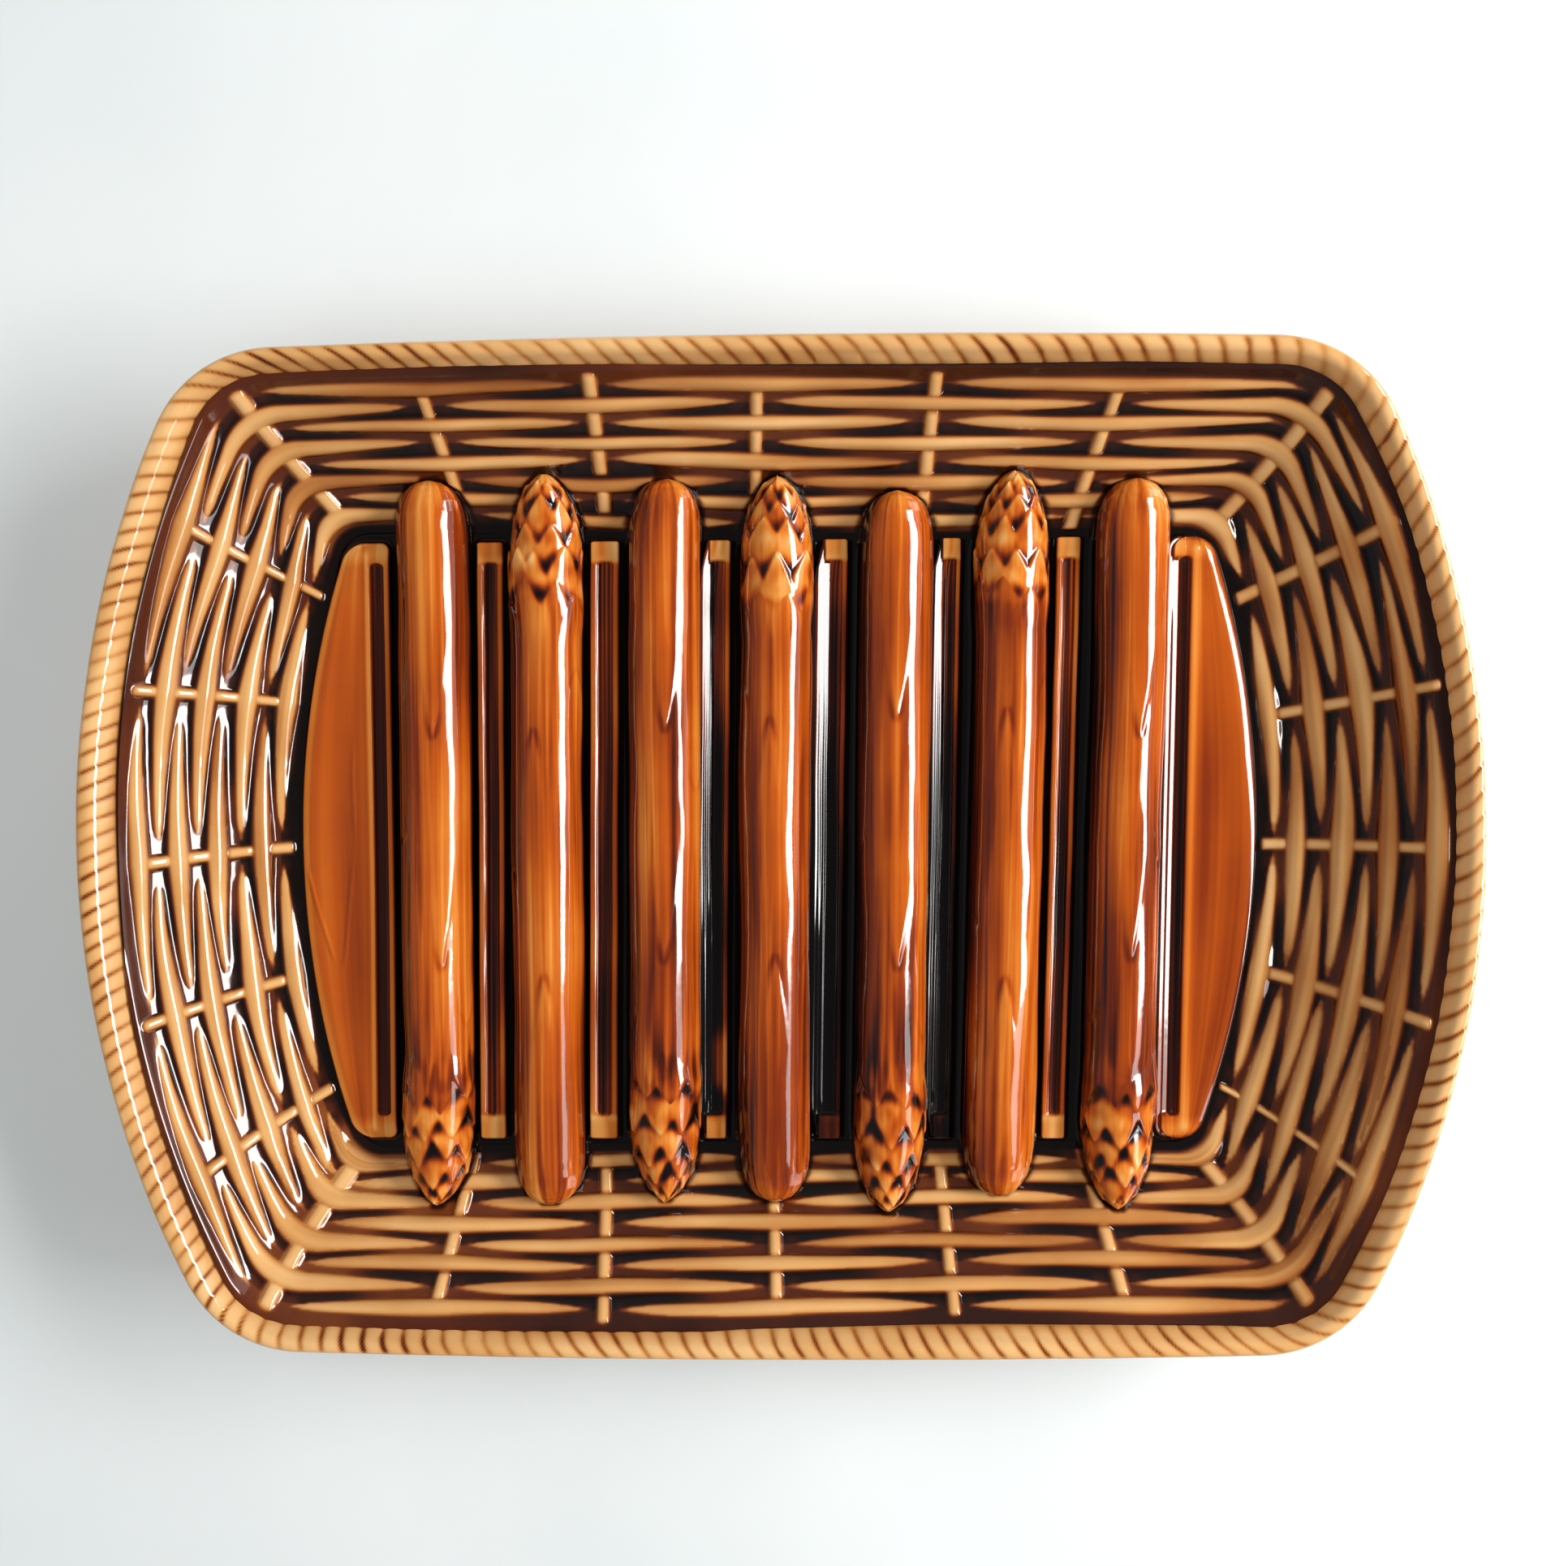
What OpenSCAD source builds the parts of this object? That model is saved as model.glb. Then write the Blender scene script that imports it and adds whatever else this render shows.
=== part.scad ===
// Asparagus plate: a moulded, glazed earthenware platter with a woven basket wall,
// a rope-twist rim, seven asparagus spears in relief over a sunken well, and
// six slotted drain slats between the spears. Units are millimetres.
// Z = 0 is the table, the origin is under the middle of the plate,
// X runs along the long side and Y across it.

/* [Plate] */
// Length over the rope rim
plate_length = 380; // [374:1:388]
// Width over the rope rim
plate_width = 278; // [274:1:284]
// Bulge radius of the two short, curved ends
end_radius = 277; // [268:1:290]
// Bulge radius of the two long, nearly straight sides
side_radius = 5200; // [3000:100:9000]
// Corner radius of the rim
corner_radius = 36; // [32:1:40]
// Depth of the wall from the rim down to the edge of the well
bowl_depth = 28.2; // [26:0.2:30]
// Clay thickness of the well floor
floor_thick = 5.2; // [4.6:0.1:6]
// Height of the foot under the floor
foot_height = 4.2; // [3:0.1:5]

/* [Rope rim] */
// Height of the rope above its seat on the wall
rope_height = 6.8; // [6:0.1:7.6]
// Depth of the groove between two turns of the rope
rope_groove = 0.5; // [0.2:0.1:0.8]
// Turns of the rope, counted all the way round
rope_turns = 48; // [24:24:72]

/* [Basket weave] */
// Height of the relief, from the recesses up to the strands
weave_relief = 2.4; // [2:0.1:3]
// Height of a strand where it passes over a stake
strand_over = 2.3; // [2:0.1:3]
// Height of a strand where it dives behind a stake
strand_under = 0.6; // [0.4:0.1:1]
// Width of a strand at its widest, as a share of the course pitch
strand_fill = 0.88; // [0.7:0.01:0.94]
// Width of a stake
stake_width = 3.8; // [3:0.1:4.6]
// Height of a stake above the recesses
stake_height = 1.7; // [1.4:0.1:2.4]

/* [Spears] */
// Length of a spear from butt to tip
spear_length = 206; // [200:1:208]
// Radius of a spear's stalk
spear_radius = 10.3; // [9:0.1:11]
// Height of a spear above the well floor
spear_height = 14; // [12:0.5:15]
// Distance from one spear to the next
spear_pitch = 32.8; // [31:0.1:33]

/* [Drain slats and pads] */
// Width of a drain slat
slat_width = 7; // [6:0.2:8]
// Length of a slat and of the two end pads
slat_length = 173; // [165:1:175]
// Height of the slats and pads above the well floor
slat_height = 3; // [2.6:0.1:4]
// Width of the recessed slot in each slat and pad
slot_width = 3.6; // [3:0.2:4]
// Length of the recessed slot
slot_length = 158; // [140:1:160]
// Depth of the recessed slot
slot_depth = 1.8; // [1.2:0.1:2.2]
// Reach of an end pad from the middle of the plate
pad_reach = 137.3; // [134:0.1:138]
// Bulge radius of an end pad's outer edge
pad_radius = 262; // [250:2:280]

/* [Hidden] */

glaze_amber = [0.68, 0.33, 0.07];
glaze_honey = [0.72, 0.44, 0.14];
glaze_brown = [0.33, 0.13, 0.05];
biscuit = [0.83, 0.71, 0.55];

courses = 8;                    // woven courses between the rope and the well
ring_n = 96;                    // points around the plate: four for each of the 24 stakes
well_level = foot_height + floor_thick;
rim_level = well_level + weave_relief + bowl_depth;  // the rim's outer edge
seat_level = rim_level - 3.2;   // flat seat of the rope on the wall
half_l = plate_length / 2;
half_w = plate_width / 2;

// ---- outlines ---------------------------------------------------------------
// An outline is [a, b, Rs, Rt, rc, x1, x2, y1, y2]: half length, half width, end
// and side bulge radii, corner radius, then where the stakes stand on it: x of the
// two beside the corner and the middle stake, and y of the two on the ends.
rim_outline = [half_l, half_w, end_radius, side_radius, corner_radius, 98, 47.6, 95, 48];

// Outline of the wall at step k, from 0 at the top of the wall to 1 at the well.
function wall_outline(k) = [
  half_l - 9 - 35.24 * k - 6.62 * k * k,
  half_w - 7 - 40 * k,
  end_radius - 5 - 8 * k,
  side_radius,
  22 - 20 * k + 8 * k * k,
  96.5 - 8.8 * k, 47.6, 92.4 - 22 * k, 47 - 9.5 * k];

rope_inner = wall_outline(0.045);
// Outline across the rope's seat: 0 at its outer edge, 1 at its inner edge.
function rope_outline(t) = rim_outline * (1 - t) + rope_inner * t;

// Centre of the corner arc, which touches the end arc and the side arc.
function corner_centre(o) = let (
  s = [o[0] - o[2], 0], t = [0, o[1] - o[3]],
  r1 = o[2] - o[4], r2 = o[3] - o[4],
  d = norm(t - s), a1 = (r1 * r1 - r2 * r2 + d * d) / (2 * d),
  h = sqrt(r1 * r1 - a1 * a1), e = (t - s) / d)
  s + a1 * e + h * [-e[1], e[0]];

// x on the end half and y on the side half of an outline's quarter.
function end_x(o, c, y) = y <= o[2] * c[1] / (o[2] - o[4])
  ? o[0] - o[2] + sqrt(o[2] * o[2] - y * y)
  : c[0] + sqrt(max(0, o[4] * o[4] - (y - c[1]) * (y - c[1])));
function side_y(o, c, x) = x <= o[3] * c[0] / (o[3] - o[4])
  ? o[1] - o[3] + sqrt(o[3] * o[3] - x * x)
  : c[1] + sqrt(max(0, o[4] * o[4] - (x - c[0]) * (x - c[0])));

// Point of a quarter at stake number u: 0 mid end, 3 corner, 6 mid side.
function quarter(o, c, u) = let (q = o[4] * sqrt(0.5))
  u <= 3 ? let (y = lookup(u, [[0, 0], [1, o[8]], [2, o[7]], [3, c[1] + q]]))
           [end_x(o, c, y), y]
         : let (x = lookup(u, [[3, c[0] + q], [4, o[5]], [5, o[6]], [6, 0]]))
           [x, side_y(o, c, x)];

// Point of the whole outline at stake number w, 0 to 24.
function around(o, c, w) =
  w <= 6 ? quarter(o, c, w)
  : w <= 12 ? let (p = quarter(o, c, 12 - w)) [-p[0], p[1]]
  : w <= 18 ? let (p = quarter(o, c, w - 12)) [-p[0], -p[1]]
  : let (p = quarter(o, c, 24 - w)) [p[0], -p[1]];

function ring2(o, n = ring_n) = let (c = corner_centre(o))
  [for (i = [0 : n - 1]) around(o, c, i * 24 / n)];
function ring(o, z, n = ring_n) = [for (p = ring2(o, n)) [p[0], p[1], z]];

// ---- heights of the wall -----------------------------------------------------
// Level of the recesses of the weave at step k, and of the clay's underside.
function recess_z(k) = rim_level - bowl_depth * (1.187 * k - 0.187 * pow(k, 5)) - weave_relief;
function under_z(k) = recess_z(k) - floor_thick - 1.2 * (1 - k);

// ---- solids from rings -------------------------------------------------------
// Skins a list of rings of n points each. With closed = true the last ring joins
// the first one, otherwise flat caps close both ends.
module skin(rings, closed = false) {
  m = len(rings);
  n = len(rings[0]);
  pts = [for (r = rings) for (p = r) p];
  last = closed ? m - 1 : m - 2;
  sides = [for (j = [0 : last]) for (i = [0 : n - 1])
    let (a = j * n, b = ((j + 1) % m) * n, i2 = (i + 1) % n)
      each [[a + i, b + i, b + i2], [a + i, b + i2, a + i2]]];
  caps = closed ? [] : [[for (i = [0 : n - 1]) i],
                        [for (i = [n - 1 : -1 : 0]) (m - 1) * n + i]];
  polyhedron(points = pts, faces = concat(sides, caps), convexity = 10);
}

// ---- tray --------------------------------------------------------------------
// The dished clay body: flat floor, wall in one loft from the floor's underside,
// out and up under the rope, over the rope's flat seat and down to the well.
module tray_body() {
  color(glaze_brown)
  skin(concat(
    [ring(wall_outline(0.93), foot_height)],
    [for (k = [0.82, 0.66, 0.48, 0.3, 0.14]) ring(wall_outline(k), under_z(k))],
    [ring(rope_outline(0.62), seat_level - 5.6),
     ring(rope_outline(0.2), seat_level - 2.2),
     ring(rope_outline(0.12), seat_level),
     ring(rope_outline(0.97), seat_level)],
    [for (k = [0.09, 0.25, 0.45, 0.65, 0.8, 0.92]) ring(wall_outline(k), recess_z(k))],
    [ring(wall_outline(1), well_level)]
  ));
}

// The foot: a low ring with a flat, wiped underside that the plate stands on.
module foot_ring() {
  color(biscuit)
  linear_extrude(height = foot_height)
    difference() {
      polygon(ring2(wall_outline(0.94)));
      polygon(ring2(wall_outline(1.03)));
    }
}

// ---- rope rim ----------------------------------------------------------------
// Profile of the rope as [share of its width, height], from the seat's outer edge.
rope_profile = [[0.10, 0], [0.0, 0.24], [0.0, 0.66], [0.06, 0.93], [0.18, 1.0],
                [0.38, 0.96], [0.54, 0.79], [0.70, 0.45], [0.89, 0.03], [0.87, 0]];

// Groove between turns at stake number w and profile step t.
function twist(w, t) = t <= 0 || t >= 9 ? 0
  : rope_groove * pow(0.5 + 0.5 * cos(360 * (w / 24 * rope_turns + t / 9)), 2);

module rope_rim() {
  n = ring_n * 2;
  outs = [for (t = rope_profile) ring2(rope_outline(t[0]), n)];
  color(glaze_honey)
  skin([for (t = [0 : 9]) [for (i = [0 : n - 1]) let (p = outs[t][i])
    [p[0], p[1], seat_level + rope_profile[t][1] * rope_height
      - (rope_profile[t][1] > 0.5 ? twist(i * 24 / n, t) : 0)]]], closed = true);
}

// ---- weave -------------------------------------------------------------------
function course_k(j) = j / 8.7;
// 1 where course j passes over stake number w, 0 where it dives behind it. The
// corner stakes are odd numbers, and odd courses pass behind them.
function over(j, w) = 0.5 + 0.5 * cos(180 * (w + (j % 2 == 1 ? 0 : 1)));

// One strand, right round the plate: a low rounded bead that lies on the wall,
// widest and highest where it passes over a stake.
module weave_course(j) {
  shape = [[-1, 0], [-0.72, 0.74], [0, 1], [0.72, 0.74], [1, 0]];
  k0 = course_k(j);
  color(glaze_honey)
  skin([for (i = [0 : ring_n - 1])
    let (w = i * 24 / ring_n, f = over(j, w),
         hw = (0.22 + (strand_fill / 2 - 0.22) * f) / 8.7,
         h = strand_under + (strand_over - strand_under) * f)
      [for (s = shape)
        let (k = k0 + s[0] * hw, o = wall_outline(k), p = around(o, corner_centre(o), w))
          [p[0], p[1], recess_z(k) + (s[1] == 0 ? -0.2 : s[1] * h)]]], closed = true);
}
module weave_course_1() { weave_course(1); }
module weave_course_2() { weave_course(2); }
module weave_course_3() { weave_course(3); }
module weave_course_4() { weave_course(4); }
module weave_course_5() { weave_course(5); }
module weave_course_6() { weave_course(6); }
module weave_course_7() { weave_course(7); }
module weave_course_8() { weave_course(8); }

// Point on the wall beside stake number w at step k, s millimetres along the wall.
function beside(k, w, s) = let (o = wall_outline(k), c = corner_centre(o),
    p = around(o, c, w), a = around(o, c, max(0, w - 0.1)), b = around(o, c, min(24, w + 0.1)),
    e = (b - a) / norm(b - a)) p + s * e;

// The short length of a stake that shows where course j dives behind it.
module stake_bit(j, w) {
  half = stake_width / 2;
  skin([for (k = [course_k(j - 0.5), course_k(j), course_k(j + 0.5)])
    let (r = recess_z(k), h = k == course_k(j) ? stake_height : stake_height - 0.3)
      [for (q = [[-1, 0], [-0.7, 0.85], [0.7, 0.85], [1, 0]])
        let (p = beside(k, w, q[0] * half)) [p[0], p[1], r + (q[1] == 0 ? -0.2 : q[1] * h)]]]);
}
// All the bits of one stake: odd stakes show on odd courses, even on even ones.
module stake(w) {
  for (j = [1 : courses]) if ((j + w) % 2 == 0) stake_bit(j, w);
}
module long_side_stakes() {
  color(glaze_honey) for (w = [4, 5, 6, 7, 8, 16, 17, 18, 19, 20]) stake(w);
}
module short_end_stakes() {
  color(glaze_honey) for (w = [0, 1, 2, 10, 11, 12, 13, 14, 22, 23]) stake(w);
}
module corner_stakes() {
  color(glaze_honey) for (w = [3, 9, 15, 21]) stake(w);
}

// ---- pads and drain slats ------------------------------------------------------
pad_edge = 3.37 * spear_pitch;  // inner straight edge of an end pad
// Outline of an end pad: a straight inner edge and a bulged outer edge with
// rounded corners.
module pad_shape() {
  yh = slat_length / 2;
  function bow(y) = pad_reach - pad_radius + sqrt(pad_radius * pad_radius - y * y);
  offset(r = 7) offset(r = -7)
    polygon(concat([for (y = [-yh : slat_length / 24 : yh + 0.01]) [bow(y), y]],
                   [[pad_edge - 14, yh], [pad_edge - 14, -yh]]));
}
module end_pad() {
  slot_x = pad_edge + 1.8;
  translate([0, 0, well_level])
  difference() {
    linear_extrude(height = slat_height) intersection() {
      pad_shape();
      translate([pad_edge, -slat_length]) square([60, 2 * slat_length]);
    }
    translate([slot_x, -slot_length / 2, slat_height - slot_depth])
      cube([slot_width, slot_length, slot_depth + 1]);
  }
}
module right_pad() { color(glaze_amber) end_pad(); }
module left_pad() { color(glaze_amber) mirror([1, 0, 0]) end_pad(); }

// A slat fills the middle of the gap between two spears, with a recessed slot.
module drain_slat(n) {
  color(glaze_amber)
  translate([(n - 3.5) * spear_pitch, 0, well_level])
  difference() {
    translate([-slat_width / 2, -slat_length / 2, 0])
      cube([slat_width, slat_length, slat_height]);
    translate([-slot_width / 2, -slot_length / 2, slat_height - slot_depth])
      cube([slot_width, slot_length, slot_depth + 1]);
  }
}
module drain_slat_1() { drain_slat(1); }
module drain_slat_2() { drain_slat(2); }
module drain_slat_3() { drain_slat(3); }
module drain_slat_4() { drain_slat(4); }
module drain_slat_5() { drain_slat(5); }
module drain_slat_6() { drain_slat(6); }

// ---- spears --------------------------------------------------------------------
half_s = spear_length / 2;
// Radius of the stalk, as a share of spear_radius, by distance from the butt.
function stalk(d) = lookup(d, [[0, 0.6], [1.5, 0.8], [5, 0.94], [11, 0.99], [20, 1],
  [spear_length - 38, 0.99], [spear_length - 30, 1.03], [spear_length - 20, 1.0],
  [spear_length - 13, 0.88], [spear_length - 8, 0.7], [spear_length - 4, 0.46],
  [spear_length - 1, 0.24], [spear_length, 0.1]]);
// The floor or wall that a spear lies on, at distance y from the middle.
function bed(y) = let (k = (half_w - 7 - abs(y)) / 40)
  k >= 1 ? well_level : max(well_level, recess_z(max(0, k)) + 0.2);
// Cuts across a spear: even along the stalk and close together over the bracts.
cuts = concat([0, 1.5, 5, 11, 24],
  [for (d = [48 : 36 : spear_length - 50]) d],
  [for (i = [0 : 6]) each [spear_length - 38 + i * 5.4, spear_length - 38 + i * 5.4 + 4.4]],
  [spear_length]);

module spear_solid() {
  m = 14;  // points across the rounded top
  skin([for (i = [0 : len(cuts) - 1])
    let (d = cuts[i], y = d - half_s, b = bed(y),
         bract = d >= spear_length - 38 && d < spear_length ? (i % 2 == 1 ? 1.03 : 0.96) : 1,
         r = spear_radius * stalk(d) * bract,
         top = lookup(d, [[0, 0.82], [1.5, 0.92], [6, 0.98], [16, 1], [spear_length - 24, 1],
                          [spear_length - 10, 0.95], [spear_length, 0.8]]),
         zt = well_level + spear_height * top * (1 + (bract - 1) * 0.5),
         zc = max(zt - r, b + 0.15 * r),
         s0 = asin(max(-0.95, min(0.2, (b - zc) / r))))
      [for (q = [0 : m - 1]) let (g = s0 + (180 - 2 * s0) * q / (m - 1))
        [r * cos(g), y, q == 0 || q == m - 1 ? b : zc + max(0.1, zt - zc) * sin(g)]]]);
}
// Odd spears point one way and even ones the other.
module spear(n) {
  color(glaze_amber)
  translate([(n - 4) * spear_pitch, 0, 0]) rotate([0, 0, n % 2 == 0 ? 0 : 180]) spear_solid();
}
module spear_1() { spear(1); }
module spear_2() { spear(2); }
module spear_3() { spear(3); }
module spear_4() { spear(4); }
module spear_5() { spear(5); }
module spear_6() { spear(6); }
module spear_7() { spear(7); }

// ---- the plate -----------------------------------------------------------------
tray_body();
foot_ring();
rope_rim();
weave_course_1();
weave_course_2();
weave_course_3();
weave_course_4();
weave_course_5();
weave_course_6();
weave_course_7();
weave_course_8();
long_side_stakes();
short_end_stakes();
corner_stakes();
left_pad();
right_pad();
drain_slat_1();
drain_slat_2();
drain_slat_3();
drain_slat_4();
drain_slat_5();
drain_slat_6();
spear_1();
spear_2();
spear_3();
spear_4();
spear_5();
spear_6();
spear_7();
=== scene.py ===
# Asparagus plate: the visual model of a moulded, glazed earthenware platter with a
# basket-weave wall, a rope-twist rim, a sunken draining well and seven spears in relief.
# Shapes are computed in millimetres in the same frame as the CAD and written in metres.
import math
import bpy
import numpy as np
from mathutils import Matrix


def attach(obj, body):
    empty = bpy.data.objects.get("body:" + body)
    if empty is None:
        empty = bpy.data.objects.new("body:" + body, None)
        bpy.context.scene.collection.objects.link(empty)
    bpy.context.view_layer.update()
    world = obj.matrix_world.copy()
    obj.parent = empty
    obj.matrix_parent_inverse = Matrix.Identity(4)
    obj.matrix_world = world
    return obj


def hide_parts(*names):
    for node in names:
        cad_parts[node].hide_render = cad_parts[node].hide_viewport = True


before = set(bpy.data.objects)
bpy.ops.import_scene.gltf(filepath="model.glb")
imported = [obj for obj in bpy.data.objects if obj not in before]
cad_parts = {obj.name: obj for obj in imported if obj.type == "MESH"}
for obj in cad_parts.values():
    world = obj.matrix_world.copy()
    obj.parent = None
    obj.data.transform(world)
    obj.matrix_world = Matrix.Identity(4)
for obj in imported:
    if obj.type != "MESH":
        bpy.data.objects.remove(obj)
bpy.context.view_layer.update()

MM = 0.001
TAU = 2 * math.pi

# ------------------------------------------------------------------ sizes, mm
HALF_L, HALF_W, END_R, SIDE_R, CORNER_R = 190.0, 139.0, 277.0, 5200.0, 36.0
DEPTH, RELIEF, FLOOR_T, FOOT = 28.2, 2.4, 5.2, 4.2
WELL = FOOT + FLOOR_T
RIM = WELL + RELIEF + DEPTH
SEAT = RIM - 3.2
COURSES, STAKES = 8, 24
SPEAR_L, SPEAR_R, SPEAR_H, PITCH = 206.0, 10.3, 14.0, 32.8
SLAT_W, SLAT_L, SLAT_H, SLOT_W, SLOT_L, SLOT_D = 7.0, 173.0, 3.0, 3.6, 158.0, 1.8
PAD_EDGE = 3.37 * PITCH
PAD_O = np.array([137.3, 86.5, 262, 5200, 7.0, 0, 0, 0, 0])

# Small irregularities of the hand-made master, for each of the 24 stakes from the right
# end anticlockwise: how far a stake leans along the wall at the first and at the last
# course (in stakes), and how far the courses drift down the wall there (in courses).
LEAN_OUT = [0.04, -0.035, -0.09, 0.03, 0.04, 0.075, 0.085, 0.02, -0.015, -0.11, -0.05, -0.01,
            0.055, 0.0, -0.005, 0.125, -0.02, -0.03, -0.01, 0.035, 0.035, -0.065, -0.02, 0.02]
LEAN_IN = [0.0, -0.045, -0.045, 0.02, 0.09, 0.13, 0.13, 0.005, 0.01, -0.125, -0.07, -0.125,
           0.015, -0.015, 0.0, 0.08, -0.065, -0.085, -0.04, -0.02, 0.05, -0.095, -0.06, 0.04]
DRIFT_OUT = [-0.5, -0.62, -0.6, -0.05, -0.08, 0.04, -0.04, -0.13, -0.24, -0.17, -0.04, -0.07,
             0.06, -0.18, -0.14, -0.22, -0.28, -0.24, 0.0, 0.2, 0.06, -0.12, -0.36, -0.5]
DRIFT_MID = [-0.22, -0.32, -0.33, -0.13, 0.05, 0.1, -0.1, -0.15, -0.28, -0.35, -0.03, -0.19,
             -0.13, -0.28, -0.33, -0.18, -0.18, -0.1, 0.05, 0.2, 0.1, 0.05, 0.13, -0.06]
DRIFT_IN = [0.12, 0.0, -0.12, 0.1, 0.38, 0.58, 0.6, 0.25, -0.25, -0.42, -0.08, -0.26,
            -0.17, -0.3, -0.3, -0.1, 0.2, 0.42, 0.63, 0.6, 0.5, 0.22, 0.42, 0.25]
# spears from left to right: sideways shift at the top and bottom, reach past 103 mm there
SPEAR_FIT = [(1.4, -0.9, 1.4, 0.9), (0.7, -1.1, 3.0, 0.4), (1.7, -0.3, 1.1, -0.2), (0.9, -1.7, 1.7, -0.4),
             (1.7, -0.9, -2.6, 2.4), (1.7, -2.1, 2.6, -2.2), (2.6, -0.7, 0.1, 1.6)]
SLAT_FIT = [(0.7, -1.7), (0.9, -2.2), (0.7, -2.1), (0.9, -2.0), (0.8, -2.1), (1.3, -2.5)]

RIM_O = np.array([HALF_L, HALF_W, END_R, SIDE_R, CORNER_R, 98, 47.6, 95, 48])


def wall_o(k):
    return np.array([HALF_L - 9 - 35.24 * k - 6.62 * k * k, HALF_W - 7 - 40 * k,
                     END_R - 5 - 8 * k, SIDE_R, 22 - 20 * k + 8 * k * k,
                     96.5 - 8.8 * k, 47.6, 92.4 - 22 * k, 47 - 9.5 * k])


ROPE_IN = wall_o(0.045)


def rope_o(t):
    return RIM_O * (1 - t) + ROPE_IN * t


def corner(o):
    s = np.array([o[0] - o[2], 0.0])
    t = np.array([0.0, o[1] - o[3]])
    r1, r2 = o[2] - o[4], o[3] - o[4]
    d = np.hypot(*(t - s))
    a1 = (r1 * r1 - r2 * r2 + d * d) / (2 * d)
    h = math.sqrt(r1 * r1 - a1 * a1)
    e = (t - s) / d
    return s + a1 * e + h * np.array([-e[1], e[0]])


def around(o, w):
    """Points of an outline at stake numbers w, counted from the right end, anticlockwise."""
    c = corner(o)
    a, b, rs, rt, rc, x1, x2, y1, y2 = o
    w = np.mod(w, 24.0)
    q = np.floor(w / 6).astype(int) % 4
    u = np.where(q % 2 == 0, w - 6 * q, 6 * (q + 1) - w)
    sx = np.where((q == 1) | (q == 2), -1.0, 1.0)
    sy = np.where(q >= 2, -1.0, 1.0)
    m = rc * math.sqrt(0.5)
    y = np.interp(u, [0, 1, 2, 3], [0, y2, y1, c[1] + m])
    x = np.interp(u, [3, 4, 5, 6], [c[0] + m, x1, x2, 0])
    xe = np.where(y <= rs * c[1] / (rs - rc), a - rs + np.sqrt(rs * rs - y * y),
                  c[0] + np.sqrt(np.maximum(0, rc * rc - (y - c[1]) ** 2)))
    ys = np.where(x <= rt * c[0] / (rt - rc), b - rt + np.sqrt(rt * rt - x * x),
                  c[1] + np.sqrt(np.maximum(0, rc * rc - (x - c[0]) ** 2)))
    side = u > 3
    return np.stack([sx * np.where(side, x, xe), sy * np.where(side, ys, y)], -1)


def recess_z(k):
    return RIM - DEPTH * (1.187 * k - 0.187 * k**5) - RELIEF


def under_z(k):
    return recess_z(k) - FLOOR_T - 1.2 * (1 - k)


# ------------------------------------------------------------------ small maths
def smooth(lo, hi, x):
    t = np.clip((x - lo) / (hi - lo), 0, 1)
    return t * t * (3 - 2 * t)


def smax(a, b, k):
    return np.maximum(a, b) + np.maximum(k - np.abs(a - b), 0) ** 2 / (4 * k)


def gauss(a, sigma, axis, wrap=False):
    """Gaussian blur along one axis, sigma in samples; it wraps or mirrors at the ends."""
    if sigma <= 0.05:
        return a
    a = np.moveaxis(np.asarray(a, float), axis, 0)
    n = len(a)
    pad = min(n - 1, int(4 * sigma) + 2)
    ext = np.concatenate([a[-pad:], a, a[:pad]]) if wrap else np.concatenate([a[pad:0:-1], a, a[-2:-pad - 2:-1]])
    f = np.fft.rfftfreq(len(ext))
    g = np.exp(-2 * (math.pi * f * sigma) ** 2).reshape((-1,) + (1,) * (ext.ndim - 1))
    out = np.fft.irfft(np.fft.rfft(ext, axis=0) * g, n=len(ext), axis=0)[pad:pad + n]
    return np.moveaxis(out, 0, axis)


def noise2(rng, shape, s0, s1, wrap0=False, wrap1=False):
    """Smooth noise of unit spread with feature sizes s0 and s1 in samples."""
    a = gauss(gauss(rng.standard_normal(shape), s0, 0, wrap0), s1, 1, wrap1)
    return (a - a.mean()) / (a.std() + 1e-9)


def noise1(rng, n, s, wrap=True):
    a = gauss(rng.standard_normal(n), s, 0, wrap)
    return (a - a.mean()) / (a.std() + 1e-9)


# ------------------------------------------------------------------ meshes
def piece(name, verts, quads, mat, attrs=None, normals=None, tris=None):
    """A mesh object from arrays, vertices in millimetres."""
    me = bpy.data.meshes.new(name)
    verts = np.ascontiguousarray(verts, dtype=np.float64).reshape(-1, 3)
    quads = np.asarray(quads, dtype=np.int32).reshape(-1, 4)
    tris = np.zeros((0, 3), np.int32) if tris is None else np.asarray(tris, np.int32).reshape(-1, 3)
    me.vertices.add(len(verts))
    me.vertices.foreach_set("co", (verts * MM).astype(np.float32).ravel())
    loops = np.concatenate([quads.ravel(), tris.ravel()])
    starts = np.concatenate([np.arange(len(quads)) * 4, len(quads) * 4 + np.arange(len(tris)) * 3])
    me.loops.add(len(loops))
    me.loops.foreach_set("vertex_index", loops.astype(np.int32))
    me.polygons.add(len(starts))
    me.polygons.foreach_set("loop_start", starts.astype(np.int32))
    me.update(calc_edges=True)
    me.validate()
    me.polygons.foreach_set("use_smooth", np.ones(len(me.polygons), dtype=bool))
    for key, val in (attrs or {}).items():
        at = me.attributes.new(key, "FLOAT", "POINT")
        at.data.foreach_set("value", np.asarray(val, np.float32).ravel())
    if normals is not None:
        me.normals_split_custom_set_from_vertices(np.asarray(normals, np.float32).reshape(-1, 3).tolist())
    me.materials.append(mat)
    me.update()
    ob = bpy.data.objects.new(name, me)
    bpy.context.scene.collection.objects.link(ob)
    return ob


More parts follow.
